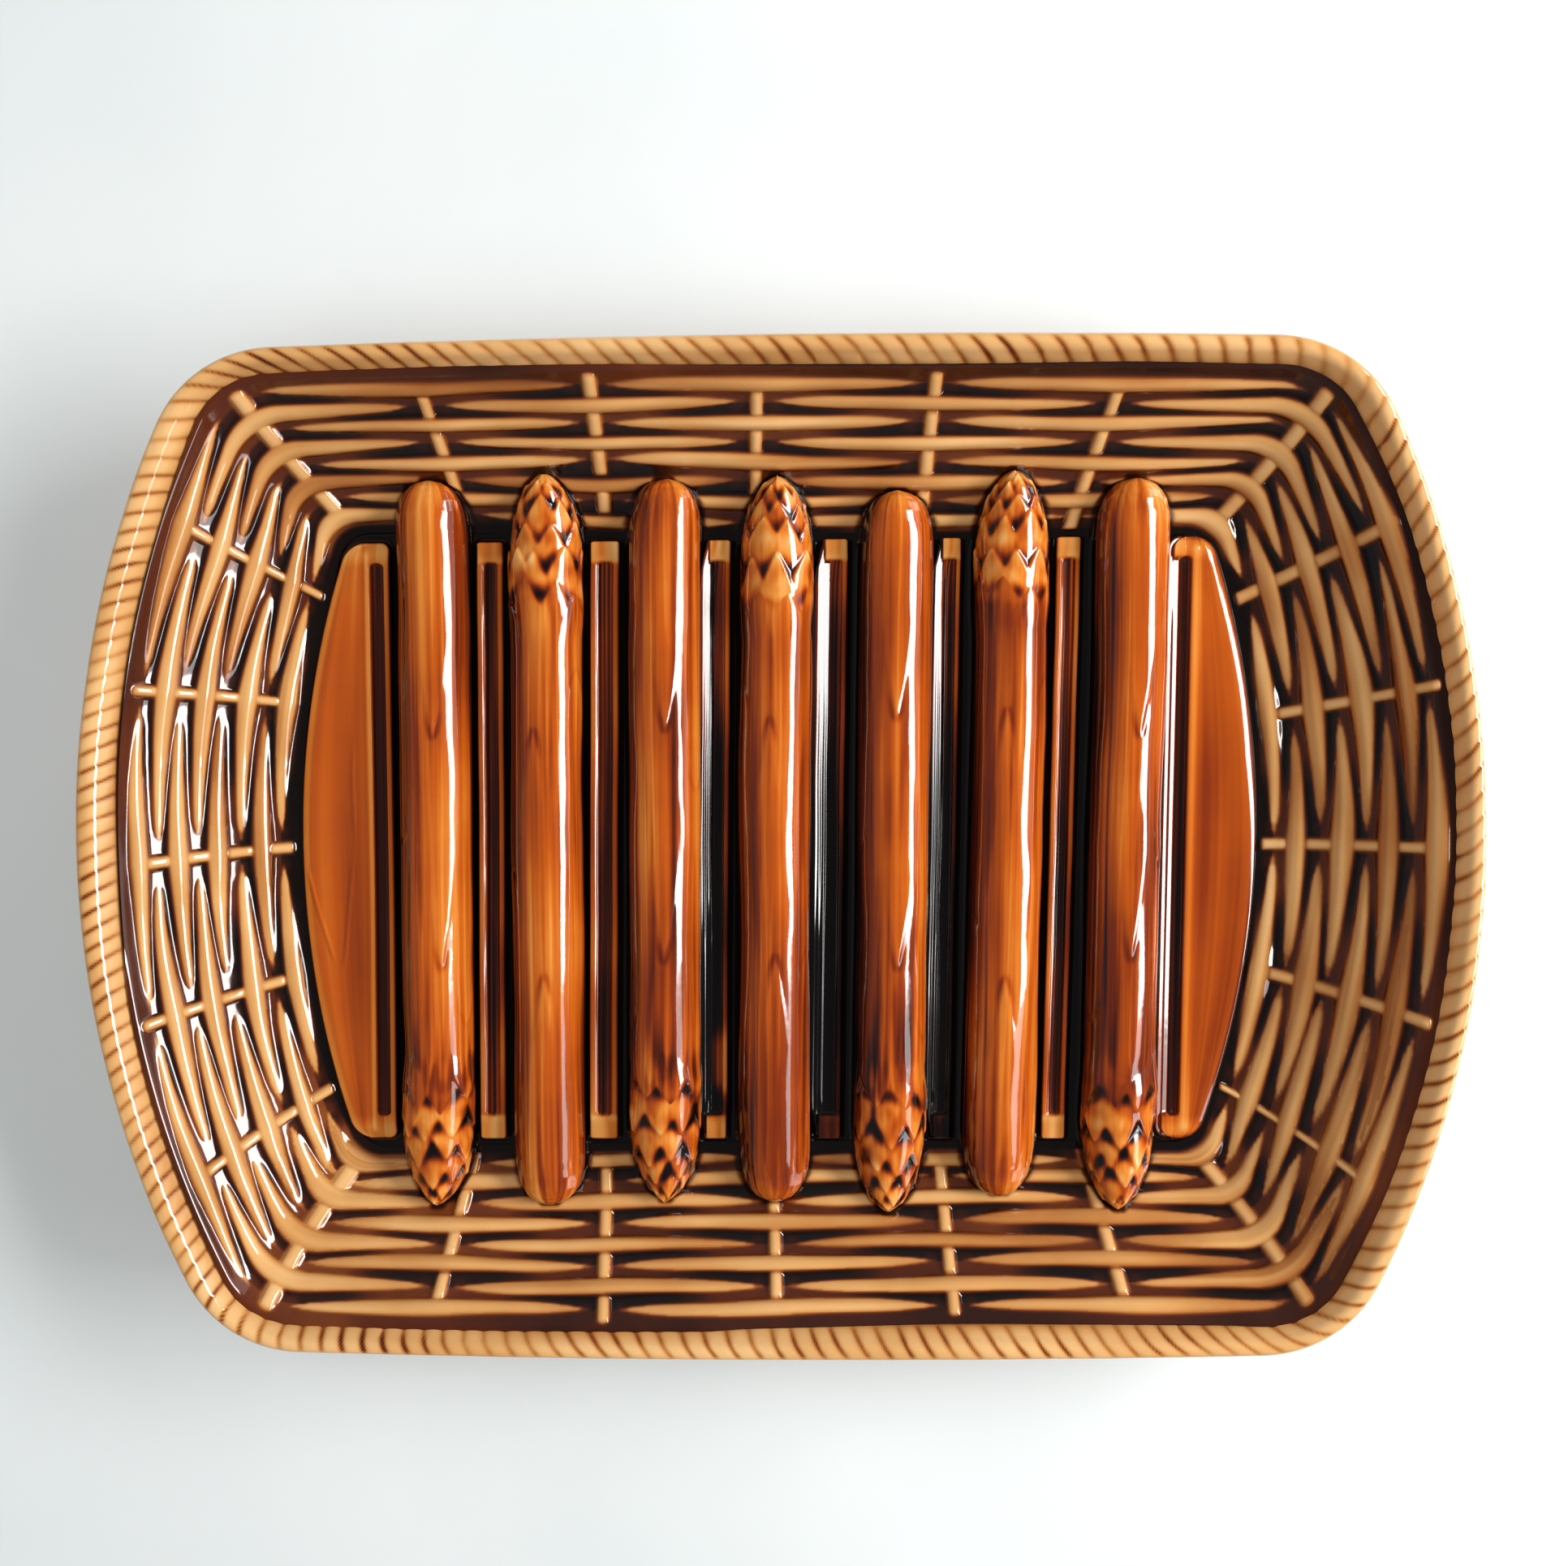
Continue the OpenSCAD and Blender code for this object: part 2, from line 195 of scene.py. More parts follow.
def grid_quads(m, n, wrap_m=False, wrap_n=True, flip=False):
    """Quads of an m by n grid of vertices."""
    i = np.arange(m if wrap_m else m - 1)
    j = np.arange(n if wrap_n else n - 1)
    I, J = np.meshgrid(i, j, indexing="ij")
    I2, J2 = (I + 1) % m, (J + 1) % n
    q = np.stack([I * n + J, I * n + J2, I2 * n + J2, I2 * n + J], -1).reshape(-1, 4)
    return q[:, ::-1] if flip else q


def grid_normals(V, wrap_m=False, wrap_n=True):
    """Unit normals of a grid surface, as the cross product d/dn x d/dm."""
    def diff(a, axis, wrap):
        if wrap:
            return np.roll(a, -1, axis) - np.roll(a, 1, axis)
        return np.gradient(a, axis=axis)
    N = np.cross(diff(V, 1, wrap_n), diff(V, 0, wrap_m))
    return N / np.maximum(np.linalg.norm(N, axis=-1, keepdims=True), 1e-12)


def outward(V, quads):
    """Turns the faces of a closed mesh so that its volume is positive."""
    a, b, c, d = (V[quads[:, i]] for i in range(4))
    vol = np.einsum("ij,ij->i", a, np.cross(b, c)).sum() + np.einsum("ij,ij->i", a, np.cross(c, d)).sum()
    return quads if vol > 0 else quads[:, ::-1]


# ------------------------------------------------------------------ materials
def lin(r, g, b):
    f = lambda v: (v / 255 / 12.92) if v / 255 <= 0.04045 else ((v / 255 + 0.055) / 1.055) ** 2.4
    return (f(r), f(g), f(b), 1.0)


# Colour of the glaze over buff clay by its thickness: thin on what stands proud, deep brown to black where it has
# pooled.
# The same value also carries painted shade in places: the spears' left flanks, the wall's right end and the rope's
# inner slope.
GLAZE = [(0.00, (226, 174, 106)), (0.10, (212, 152, 82)), (0.26, (198, 116, 40)), (0.40, (170, 77, 16)),
         (0.54, (119, 43, 11)), (0.70, (64, 22, 10)), (0.86, (26, 10, 7)), (1.00, (9, 6, 5))]
HONEY = [(0.00, (212, 168, 114)), (0.12, (196, 146, 88)), (0.28, (168, 110, 56)), (0.44, (124, 66, 27)),
         (0.60, (80, 34, 15)), (0.78, (42, 17, 9)), (1.00, (14, 8, 6))]


def glaze_material(name, ramp, mottle=0.06, mottle_scale=45.0, streak=None, rough=0.07, wave=0.25, speck=0.0):
    mat = bpy.data.materials.new(name)
    mat.use_nodes = True
    nt = mat.node_tree
    nt.nodes.clear()
    N, L = nt.nodes.new, nt.links.new
    out = N("ShaderNodeOutputMaterial")
    bs = N("ShaderNodeBsdfPrincipled")
    L(bs.outputs["BSDF"], out.inputs["Surface"])
    bs.inputs["IOR"].default_value = 1.52
    bs.inputs["Specular IOR Level"].default_value = 0.5
    bs.inputs["Coat Weight"].default_value = 0.35
    bs.inputs["Coat Roughness"].default_value = 0.03
    tc = N("ShaderNodeTexCoord")
    at = N("ShaderNodeAttribute")
    at.attribute_name = "glaze_and_shade"
    # uneven thickness of the glaze
    n1 = N("ShaderNodeTexNoise")
    n1.inputs["Scale"].default_value = mottle_scale
    n1.inputs["Detail"].default_value = 4.0
    n1.inputs["Roughness"].default_value = 0.55
    L(tc.outputs["Object"], n1.inputs["Vector"])
    m1 = N("ShaderNodeMath")
    m1.operation = "MULTIPLY_ADD"
    L(n1.outputs["Fac"], m1.inputs[0])
    m1.inputs[1].default_value = 2 * mottle
    m1.inputs[2].default_value = -mottle
    a1 = N("ShaderNodeMath")
    a1.operation = "ADD"
    L(at.outputs["Fac"], a1.inputs[0])
    L(m1.outputs[0], a1.inputs[1])
    last = a1
    if streak:
        # fine lines along the stalk
        mp = N("ShaderNodeMapping")
        mp.inputs["Scale"].default_value = streak[0]
        L(tc.outputs["Object"], mp.inputs["Vector"])
        n2 = N("ShaderNodeTexNoise")
        n2.inputs["Scale"].default_value = 1.0
        n2.inputs["Detail"].default_value = 3.0
        L(mp.outputs["Vector"], n2.inputs["Vector"])
        m2 = N("ShaderNodeMath")
        m2.operation = "MULTIPLY_ADD"
        L(n2.outputs["Fac"], m2.inputs[0])
        m2.inputs[1].default_value = 2 * streak[1]
        m2.inputs[2].default_value = -streak[1]
        a2 = N("ShaderNodeMath")
        a2.operation = "ADD"
        L(last.outputs[0], a2.inputs[0])
        L(m2.outputs[0], a2.inputs[1])
        last = a2
    if speck:
        # sparse iron specks in the glaze
        vo = N("ShaderNodeTexVoronoi")
        vo.inputs["Scale"].default_value = 170.0
        L(tc.outputs["Object"], vo.inputs["Vector"])
        sp = N("ShaderNodeMapRange")
        sp.inputs["From Min"].default_value = 0.03
        sp.inputs["From Max"].default_value = 0.07
        sp.inputs["To Min"].default_value = speck
        sp.inputs["To Max"].default_value = 0.0
        L(vo.outputs["Distance"], sp.inputs["Value"])
        a3 = N("ShaderNodeMath")
        a3.operation = "ADD"
        L(last.outputs[0], a3.inputs[0])
        L(sp.outputs["Result"], a3.inputs[1])
        last = a3
    cr = N("ShaderNodeValToRGB")
    cr.color_ramp.interpolation = "LINEAR"
    el = cr.color_ramp.elements
    el[0].position, el[0].color = ramp[0][0], lin(*ramp[0][1])
    el[1].position, el[1].color = ramp[-1][0], lin(*ramp[-1][1])
    for p, c in ramp[1:-1]:
        e = el.new(p)
        e.color = lin(*c)
    L(last.outputs[0], cr.inputs["Fac"])
    L(cr.outputs["Color"], bs.inputs["Base Color"])
    # gloss with faint dull patches
    n3 = N("ShaderNodeTexNoise")
    n3.inputs["Scale"].default_value = 60.0
    n3.inputs["Detail"].default_value = 2.0
    L(tc.outputs["Object"], n3.inputs["Vector"])
    r3 = N("ShaderNodeMapRange")
    r3.inputs["From Min"].default_value = 0.35
    r3.inputs["From Max"].default_value = 0.75
    r3.inputs["To Min"].default_value = rough
    r3.inputs["To Max"].default_value = rough + 0.06
    L(n3.outputs["Fac"], r3.inputs["Value"])
    L(r3.outputs["Result"], bs.inputs["Roughness"])
    # slight waviness of the fired glaze
    n4 = N("ShaderNodeTexNoise")
    n4.inputs["Scale"].default_value = 330.0
    n4.inputs["Detail"].default_value = 1.0
    L(tc.outputs["Object"], n4.inputs["Vector"])
    bu = N("ShaderNodeBump")
    bu.inputs["Strength"].default_value = wave
    bu.inputs["Distance"].default_value = 0.00012
    L(n4.outputs["Fac"], bu.inputs["Height"])
    L(bu.outputs["Normal"], bs.inputs["Normal"])
    return mat


def biscuit_material(name):
    mat = bpy.data.materials.new(name)
    mat.use_nodes = True
    nt = mat.node_tree
    nt.nodes.clear()
    N, L = nt.nodes.new, nt.links.new
    out = N("ShaderNodeOutputMaterial")
    bs = N("ShaderNodeBsdfPrincipled")
    L(bs.outputs["BSDF"], out.inputs["Surface"])
    tc = N("ShaderNodeTexCoord")
    n1 = N("ShaderNodeTexNoise")
    n1.inputs["Scale"].default_value = 260.0
    n1.inputs["Detail"].default_value = 6.0
    L(tc.outputs["Object"], n1.inputs["Vector"])
    cr = N("ShaderNodeValToRGB")
    el = cr.color_ramp.elements
    el[0].position, el[0].color = 0.3, lin(176, 132, 88)
    el[1].position, el[1].color = 0.72, lin(224, 194, 152)
    L(n1.outputs["Fac"], cr.inputs["Fac"])
    # glaze left at the edges of the wiped ring
    at = N("ShaderNodeAttribute")
    at.attribute_name = "glaze_and_shade"
    n2 = N("ShaderNodeTexNoise")
    n2.inputs["Scale"].default_value = 90.0
    L(tc.outputs["Object"], n2.inputs["Vector"])
    ad = N("ShaderNodeMath")
    ad.operation = "ADD"
    L(at.outputs["Fac"], ad.inputs[0])
    L(n2.outputs["Fac"], ad.inputs[1])
    mr = N("ShaderNodeMapRange")
    mr.inputs["From Min"].default_value = 0.95
    mr.inputs["From Max"].default_value = 1.08
    L(ad.outputs[0], mr.inputs["Value"])
    mx = N("ShaderNodeMix")
    mx.data_type = "RGBA"
    L(mr.outputs["Result"], mx.inputs["Factor"])
    L(cr.outputs["Color"], mx.inputs["A"])
    mx.inputs["B"].default_value = lin(150, 74, 22)
    L(mx.outputs["Result"], bs.inputs["Base Color"])
    rr = N("ShaderNodeMapRange")
    rr.inputs["To Min"].default_value = 0.82
    rr.inputs["To Max"].default_value = 0.16
    L(mr.outputs["Result"], rr.inputs["Value"])
    L(rr.outputs["Result"], bs.inputs["Roughness"])
    bu = N("ShaderNodeBump")
    bu.inputs["Strength"].default_value = 0.5
    bu.inputs["Distance"].default_value = 0.0002
    L(n1.outputs["Fac"], bu.inputs["Height"])
    L(bu.outputs["Normal"], bs.inputs["Normal"])
    return mat


MAT_TRAY = glaze_material("tray_glaze", GLAZE, mottle=0.05, mottle_scale=38.0, speck=0.25)
MAT_ROPE = glaze_material("rope_glaze", HONEY, mottle=0.05, mottle_scale=70.0)
MAT_WEAVE = glaze_material("weave_glaze", HONEY, mottle=0.05, mottle_scale=90.0, wave=0.14)
MAT_PAD = glaze_material("pad_glaze", GLAZE, mottle=0.06, mottle_scale=30.0)
MAT_SLAT = glaze_material("slat_glaze", GLAZE, mottle=0.05, mottle_scale=60.0, wave=0.08)
MAT_SPEAR = glaze_material("spear_glaze", GLAZE, mottle=0.05, mottle_scale=60.0,
                           streak=((900.0, 14.0, 700.0), 0.10))
MAT_FOOT = biscuit_material("wiped_clay")


# ------------------------------------------------------------------ spears' outline
def stalk(d):
    """Half width of a spear as a share of SPEAR_R, d millimetres from its butt."""
    L = SPEAR_L
    x = [0, 0.6, 1.6, 3.2, 5.5, 9, 14, 20, L - 44, L - 34, L - 26, L - 19, L - 13, L - 8, L - 4.5, L - 2, L - 0.6, L]
    y = [0.18, 0.38, 0.56, 0.71, 0.84, 0.94, 0.99, 1.0, 0.99, 1.02, 1.02, 0.99, 0.90, 0.75, 0.56, 0.38, 0.22, 0.10]
    return np.interp(d, x, y)


def bed(y):
    k = (HALF_W - 7 - np.abs(y)) / 40
    return np.where(k >= 1, WELL, np.maximum(WELL, recess_z(np.clip(k, 0, 1))))


def spear_distance(x, y):
    """Distance in plan from the nearest spear's edge, below zero under the spear."""
    best = np.full(np.shape(x), 99.0)
    for n in range(1, 8):
        xt, xb, et, eb = SPEAR_FIT[n - 1]
        top, bot = 103 + et, -103 - eb
        d = (y - bot if n % 2 == 0 else top - y) * SPEAR_L / (top - bot)
        a = SPEAR_R * stalk(np.clip(d, 0, SPEAR_L))
        xs = (n - 4) * PITCH + xb + (xt - xb) * (y + 95) / 190
        dx = np.abs(x - xs) - a
        dy = np.maximum(-d, d - SPEAR_L)
        dist = np.where(dy > 0, np.hypot(np.maximum(dx, 0), dy), dx * np.where(dx < 0, 1, 0.9))
        best = np.minimum(best, dist)
    return best


# ------------------------------------------------------------------ basket wall
NW = 24 * 88
rng = np.random.default_rng(11)
ROWS_PER = 13
j_rows = np.concatenate([np.linspace(0.02, 1.5, 18)[:-1],
                         *[np.linspace(j - 0.5, j + 0.5, ROWS_PER + 1)[:-1] for j in range(2, 8)],
                         np.linspace(7.5, 9.1, 23)])
W = np.arange(NW) * 24.0 / NW
kd = np.linspace(-0.12, 1.24, 280)
MAP = np.stack([around(wall_o(k), W) for k in kd])


def ring_table(vals):
    """A table with one value for each stake, as a smooth function of the column."""
    return gauss(np.interp(W, np.arange(25), list(vals) + [vals[0]]), 20, 0, True)


LO, LI = ring_table(LEAN_OUT), ring_table(LEAN_IN)
DO, DM, DI = ring_table(DRIFT_OUT), ring_table(DRIFT_MID), ring_table(DRIFT_IN)


def on_wall(jj, lean=True):
    """Plan points of the wall for an array of course numbers (rows, columns), and their k."""
    f = np.clip((jj - 1) / 7, -0.15, 1.2)
    drift = np.where(jj < 4.5, DO + (DM - DO) * np.clip((jj - 1) / 3.5, -0.2, 1), DM + (DI - DM) * np.clip((jj - 4.5) / 3.5, 0, 1.1))
    k = (jj + drift) / 8.7
    w = (np.arange(NW)[None] + (LO * (1 - f) + LI * f) * NW / 24) % NW
    ki = np.clip((k - kd[0]) / (kd[1] - kd[0]), 0, len(kd) - 1.001)
    k0, w0 = np.floor(ki).astype(int), np.floor(w).astype(int)
    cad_, fw = (ki - k0)[..., None], (w - w0)[..., None]
    w1 = (w0 + 1) % NW
    w0 = w0 % NW
    return ((MAP[k0, w0] * (1 - fw) + MAP[k0, w1] * fw) * (1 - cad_)
            + (MAP[k0 + 1, w0] * (1 - fw) + MAP[k0 + 1, w1] * fw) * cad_), k


J = j_rows[:, None] + np.zeros(NW)[None]
P2, K_rows = on_wall(J)
Z0 = recess_z(np.clip(K_rows, 0.0, 1.0))
Z0 = smax(Z0, np.full_like(Z0, WELL + 0.03), 0.9)
B0 = np.dstack([P2, Z0])
N0 = grid_normals(B0)
if N0[..., 2].mean() < 0:
    N0 = -N0
step_w = np.linalg.norm(np.roll(P2, -1, 1) - P2, axis=-1) * NW / 24  # mm for each stake number
step_w = gauss(step_w, 20, 1, True)

# hand-made unevenness: courses wander and vary in width
stake_off = np.zeros(24)
W_of = W + np.interp(W, np.arange(25), np.append(stake_off, stake_off[0]))
H = np.zeros_like(J)
T_in = np.full_like(J, 9.0)
IN = np.zeros_like(J)
j_low = np.clip(np.floor(J), 0, COURSES)
f_up = 0.5 + 0.5 * np.cos(math.pi * (W_of[None] + np.where(j_low % 2 == 1, 0, 1)))
T_gap = 0.60 + 0.38 * smooth(0.80, 0.22, f_up) * (J > 1) + 0.06 * (J < 1)
ENDS = smooth(4.4, 3.1, np.minimum(np.minimum(W, 24 - W), np.abs(W - 12)))   # 1 on the two short ends
for j in range(1, COURSES + 1):
    wander = 0.060 * noise1(rng, NW, 30)
    wide = 1 + 0.06 * noise1(rng, NW, 26)
    high = 1 + 0.05 * noise1(rng, NW, 34)
    x = np.mod(W_of - (1 if j % 2 == 1 else 0), 2.0)
    wd = np.minimum(x, 2 - x)                       # stakes to the nearest one it dives behind
    row = int(np.argmin(np.abs(j_rows - j)))
    span = step_w[row]
    d = wd * span - 3.6 + 1.0 * noise1(rng, NW, 44)  # mm from the pointed end
    run = np.minimum(24.0, 0.60 * span)
    g = 1 - (1 - np.clip(d / run, 0, 1)) ** 2.4
    over = smooth(0.55, 1.0, wd)
    hl_long = (0.02 + 0.315 * g + 0.055 * over) * smooth(-1.0, 2.5, d)
    hl_end = (0.045 + 0.12 * smooth(0.0, 7.0, d) + 0.37 * np.clip(d / span, 0, 1)) * smooth(-0.8, 1.5, d)
    hl = (hl_long * (1 - ENDS) + hl_end * ENDS) * wide + 1e-4
    hg = (0.22 + 0.25 * g) * (1 - ENDS) + (0.15 + hl) * ENDS
    rise = np.clip(d / (0.47 * span), 0, 1)
    hc = (0.18 * smooth(-1.5, 2.0, d) + 0.92 * rise + 0.98 * over) * high
    dj = (J - (j + wander)[None]) / hg[None]
    sharp = (1.35 - 0.60 * over) * (1 - ENDS) + 0.95 * ENDS
    H = smax(H, hc[None] * np.maximum(0, 1 - dj * dj) ** sharp[None], 0.24)
    q_in = np.abs(J - (j + wander)[None]) / hl[None]
    mask = smooth(1.24, 0.80, q_in) * smooth(-0.8, 1.6, d)[None]
    film = 0.10 * np.clip(noise1(rng, NW, 70) - 0.2, 0, 1.6)
    col = (0.11 + 0.12 * (1 - g) * (1 - 0.6 * ENDS) + film)[None] + 0.17 * q_in**3
    T_in = np.where(mask > IN, col, T_in)
    IN = np.maximum(IN, mask)
stake_h = np.zeros_like(J)
pit = np.zeros_like(J)
T_stake = np.full_like(J, 0.6)
for i in range(24):
    off = (W_of[None] - i + 12) % 24 - 12
    d = off * step_w
    wob = 1 + 0.07 * rng.standard_normal()
    hw = (2.15 if i in (3, 4, 5, 6, 7, 8, 9, 15, 16, 17, 18, 19, 20, 21) else 1.85) * wob
    ju = (1, 3, 5, 7) if i % 2 == 1 else (2, 4, 6, 8)
    dj = np.min([np.abs(J - a) for a in ju], axis=0)
    bit = np.maximum(0, 1 - (dj / 0.72) ** 4) ** 0.5
    pit = np.maximum(pit, np.exp(-((np.abs(d) - 5.0) / 2.6) ** 2) * np.exp(-(dj / 0.40) ** 2))
    stake_h = np.maximum(stake_h, 1.58 * np.maximum(0, 1 - (d / hw) ** 2) ** 0.5 * bit)
    T_stake = np.where(np.abs(d) < hw, 0.09 + 0.42 * np.abs(d / hw) ** 2.6 + 0.30 * smooth(0.44, 0.66, dj), T_stake)
H = H - 0.34 * pit * smooth(1.1, 0.5, H)      # small hollows in the corners of the weave
H = smax(H, 0.95 * np.clip((1.02 - J) / 0.75, 0, 1.3) - 0.02, 0.12)      # the ground rises towards the rope
H_strand = H.copy()
H = smax(H, stake_h - 0.12, 0.30)

# the relief sinks beside the spears, where glaze has run together
sd = spear_distance(B0[..., 0], B0[..., 1])
sunk = 0.08 + 0.92 * smooth(0.4, 2.2, sd)
H = H * sunk
# soften in millimetres: rows are about 0.42 mm apart and columns about 0.5 mm
H = gauss(gauss(H, 0.55, 0), 0.55, 1, True)
H = H + 0.025 * noise2(rng, H.shape, 6, 10, False, True)
blurred = gauss(gauss(H, 3.1, 0), 3.0, 1, True)
blur_wide = gauss(gauss(H, 6.5, 0), 6.0, 1, True)
fibre = 0.030 * noise2(rng, H.shape, 0.9, 46, False, True)
T_wall = T_gap * (1 - IN) + (np.minimum(T_in, 1.0) + fibre) * IN
over_stake = smooth(-0.30, 0.10, stake_h - 0.12 - H_strand)
T_wall = T_wall * (1 - over_stake) + T_stake * over_stake
T_wall = gauss(gauss(T_wall, 0.55, 0), 0.6, 1, True)
T_wall += 0.03 * noise2(rng, H.shape, 10, 16, False, True) + 0.05 * noise2(rng, H.shape, 40, 90, False, True) * (T_wall > 0.3)
T_wall += 0.55 * (1 - smooth(0.2, 2.1, sd)) + 0.5 * smooth(8.5, 8.8, J)
T_wall += 0.07 * smooth(0.10, 0.24, T_wall) * smooth(4.4, 3.1, np.minimum(W, 24 - W))     # painted shade: the wall at the right end, turned away from the light, is made darker everywhere but its palest crests
T_wall = np.clip(T_wall, 0.0, 1.0)
V_wall = B0 + N0 * H[..., None]
N_wall = grid_normals(V_wall)
if N_wall[..., 2].mean() < 0:
    N_wall = -N_wall
BACK = B0 - N0 * 1.7

course_pieces = []
cuts = [0] + [int(np.argmin(np.abs(j_rows - (j + 0.5)))) for j in range(1, 8)] + [len(j_rows) - 1]
for j in range(COURSES):
    r0, r1 = cuts[j], cuts[j + 1]
    top = V_wall[r0:r1 + 1]
    back = BACK[[r1, (r0 + r1) // 2, r0]]
    VV = np.concatenate([top, back])
    TT = np.concatenate([T_wall[r0:r1 + 1], np.ones((3, NW))])
    NN = np.concatenate([N_wall[r0:r1 + 1], -N0[[r1, (r0 + r1) // 2, r0]]])
    q = outward(VV.reshape(-1, 3), grid_quads(len(VV), NW, wrap_m=True))
    ob = piece("weave_course_%d" % (j + 1) + "_glazed", VV, q, MAT_WEAVE, {"glaze_and_shade": TT}, NN)
    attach(ob, "root"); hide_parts("weave_course_%d" % (j + 1))
    course_pieces.append(ob)


# ------------------------------------------------------------------ stakes
def stakes_piece(name, which, node):
    """The upright stakes: rounded bars down the wall that show between the strands."""
    vs, qs, ts, base = [], [], [], 0
    across = np.linspace(-1, 1, 11)
    rows = np.arange(0, len(j_rows))
    rows = rows[(j_rows[rows] > 0.05) & (j_rows[rows] < 8.7)]
    for i in which:
        c = i * NW / 24
        cen = (i - stake_off[i]) * NW / 24.0
        tops, lows, tt = [], [], []
        for r in rows:
            halfc = 1.95 / (step_w[r, int(c) % NW] * 24 / NW)
            cols = cen + across * halfc
            c0 = np.floor(cols).astype(int)
            fr = cols - c0
            pick = lambda A: (A[r, c0 % NW].T * (1 - fr) + A[r, (c0 + 1) % NW].T * fr).T
            b, n, h, sh = pick(B0), pick(N0), pick(H), pick(stake_h)
            lift = sh * (0.08 + 0.92 * smooth(0.4, 2.2, pick(sd)))
            hh = np.where(np.abs(across) > 0.95, h - 0.5, lift + 0.02)
            tops.append(b + n * hh[:, None])
            lows.append(b + n * (h - 1.3)[:, None])
            tt.append(np.clip(pick(T_wall) * 0.9 - 0.03, 0, 1))
        tops, lows, tt = np.array(tops), np.array(lows), np.array(tt)
        ring = np.concatenate([tops, lows[:, ::-1]], axis=1)  # closed loop for each row
        m, n = ring.shape[:2]
        q = grid_quads(m, n) + base
        V = ring.reshape(-1, 3)
        q = outward(np.concatenate([np.zeros((base, 3)), V]), q) if base else outward(V, q)
        half = n // 2
        cap = []
        for e, r in ((0, 0), (1, m - 1)):
            for a in range(half - 1):
                f4 = [r * n + a, r * n + a + 1, r * n + n - 2 - a, r * n + n - 1 - a]
                cap.append(f4)
        cap = np.array(cap) + base
        # caps face away from the bar's middle
        mid = V.mean(0)
        for f4 in cap:
            p = V[f4 - base]
            nn = np.cross(p[1] - p[0], p[2] - p[0])
            if np.dot(nn, p.mean(0) - mid) < 0:
                f4[:] = f4[::-1]
        vs.append(V)
        qs.append(q)
        qs.append(cap)
        ts.append(np.concatenate([tt, np.ones_like(tt)], axis=1).ravel())
        base += len(V)
    ob = piece(name, np.concatenate(vs), np.concatenate(qs), MAT_WEAVE, {"glaze_and_shade": np.concatenate(ts)})
    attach(ob, "root"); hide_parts(node)
    return ob


stakes_piece("long_side_stakes_glazed", [4, 5, 6, 7, 8, 16, 17, 18, 19, 20], "long_side_stakes")
stakes_piece("short_end_stakes_glazed", [0, 1, 2, 10, 11, 12, 13, 14, 22, 23], "short_end_stakes")
stakes_piece("corner_stakes_glazed", [3, 9, 15, 21], "corner_stakes")

# ------------------------------------------------------------------ rope rim
NR = 2208
prof = np.array([(0.30, -0.9), (0.12, -0.6), (0.02, 0.35), (0.0, 1.5), (0.0, 2.9), (0.0, 4.3), (0.02, 5.5), (0.07, 6.35),
                 (0.15, 6.76), (0.25, 6.80), (0.34, 6.66), (0.42, 6.36), (0.48, 5.98), (0.52, 5.62), (0.555, 5.22), (0.60, 4.60),
                 (0.66, 3.70), (0.73, 2.60), (0.80, 1.50), (0.87, 0.42), (0.93, -0.5), (0.95, -1.0), (0.80, -1.6), (0.55, -1.4)])
# resample the profile evenly
seg = np.hypot(np.diff(prof[:, 0]) * 10, np.diff(prof[:, 1]))
s = np.append(0, np.cumsum(seg))
sq = np.linspace(0, s[-1], 40)


def catmull(xs, ys, xq):
    """Smooth curve through points, for resampling a profile."""
    m = np.gradient(ys, xs)
    i = np.clip(np.searchsorted(xs, xq) - 1, 0, len(xs) - 2)
    h = xs[i + 1] - xs[i]
    t = (xq - xs[i]) / h
    return ((2 * t**3 - 3 * t**2 + 1) * ys[i] + (t**3 - 2 * t**2 + t) * h * m[i]
            + (-2 * t**3 + 3 * t**2) * ys[i + 1] + (t**3 - t**2) * h * m[i + 1])


pt, pz = catmull(s, prof[:, 0], sq), catmull(s, prof[:, 1], sq)
wr = np.arange(NR) * 24.0 / NR
wcol = wr * NW / 24
drift0 = np.interp(wcol, np.arange(NW + 1), np.append(DO, DO[0]))
kin = 0.045 + 0.8 * drift0 / 8.7
inner = np.stack([np.array([np.interp(kin[i], kd, MAP[:, int(wcol[i]) % NW, c]) for c in (0, 1)]) for i in range(NR)])
outer = around(RIM_O, wr)
R2 = np.stack([outer * (1 - t) + inner * t for t in pt])
RB = np.dstack([R2, np.repeat((SEAT + pz)[:, None], NR, 1)])
RN = grid_normals(RB, wrap_m=True)
mid = around(rope_o(0.5), wr)
if np.einsum("ij,ij->i", RN[10, :, :2], mid).mean() < 0 and RN[10, :, 2].mean() < 0:
    RN = -RN
if RN[10, :, 2].mean() < 0:
    RN = -RN
# turns of the rope: their pitch is a little different on each side, as in the original
dl = np.linalg.norm(np.roll(mid, -1, 0) - mid, axis=-1)
pitch = np.interp(wr, [0, 2, 4, 8, 10, 14, 16, 20, 22, 24], [6.35, 6.2, 6.8, 6.8, 5.0, 4.8, 6.0, 6.1, 6.2, 6.35])
turns = np.append(0, np.cumsum(dl / pitch))
total = round(turns[-1])
turns = turns[:-1] * total / turns[-1]
turns = turns + 0.05 * noise1(rng, NR, 14)
across_t = np.clip(pt, 0, 1)
slant = np.interp(wr, [0, 2.5, 4.5, 7.5, 9, 12, 15, 21, 22.5, 24], [1.5, 1.4, 1.2, 1.2, 1.05, 1.05, 1.0, 1.0, 1.4, 1.5])
phase = turns[None] + slant[None] * across_t[:, None]
phase = phase + 0.07 * noise2(rng, phase.shape, 7, 16, False, True)
frac = np.abs((phase % 1) - 0.5) * 2          # 1 in the groove, 0 on the turn's crown
on_top = (smooth(0.2, 1.6, pz) * smooth(0.0, 0.22, pt))[:, None]
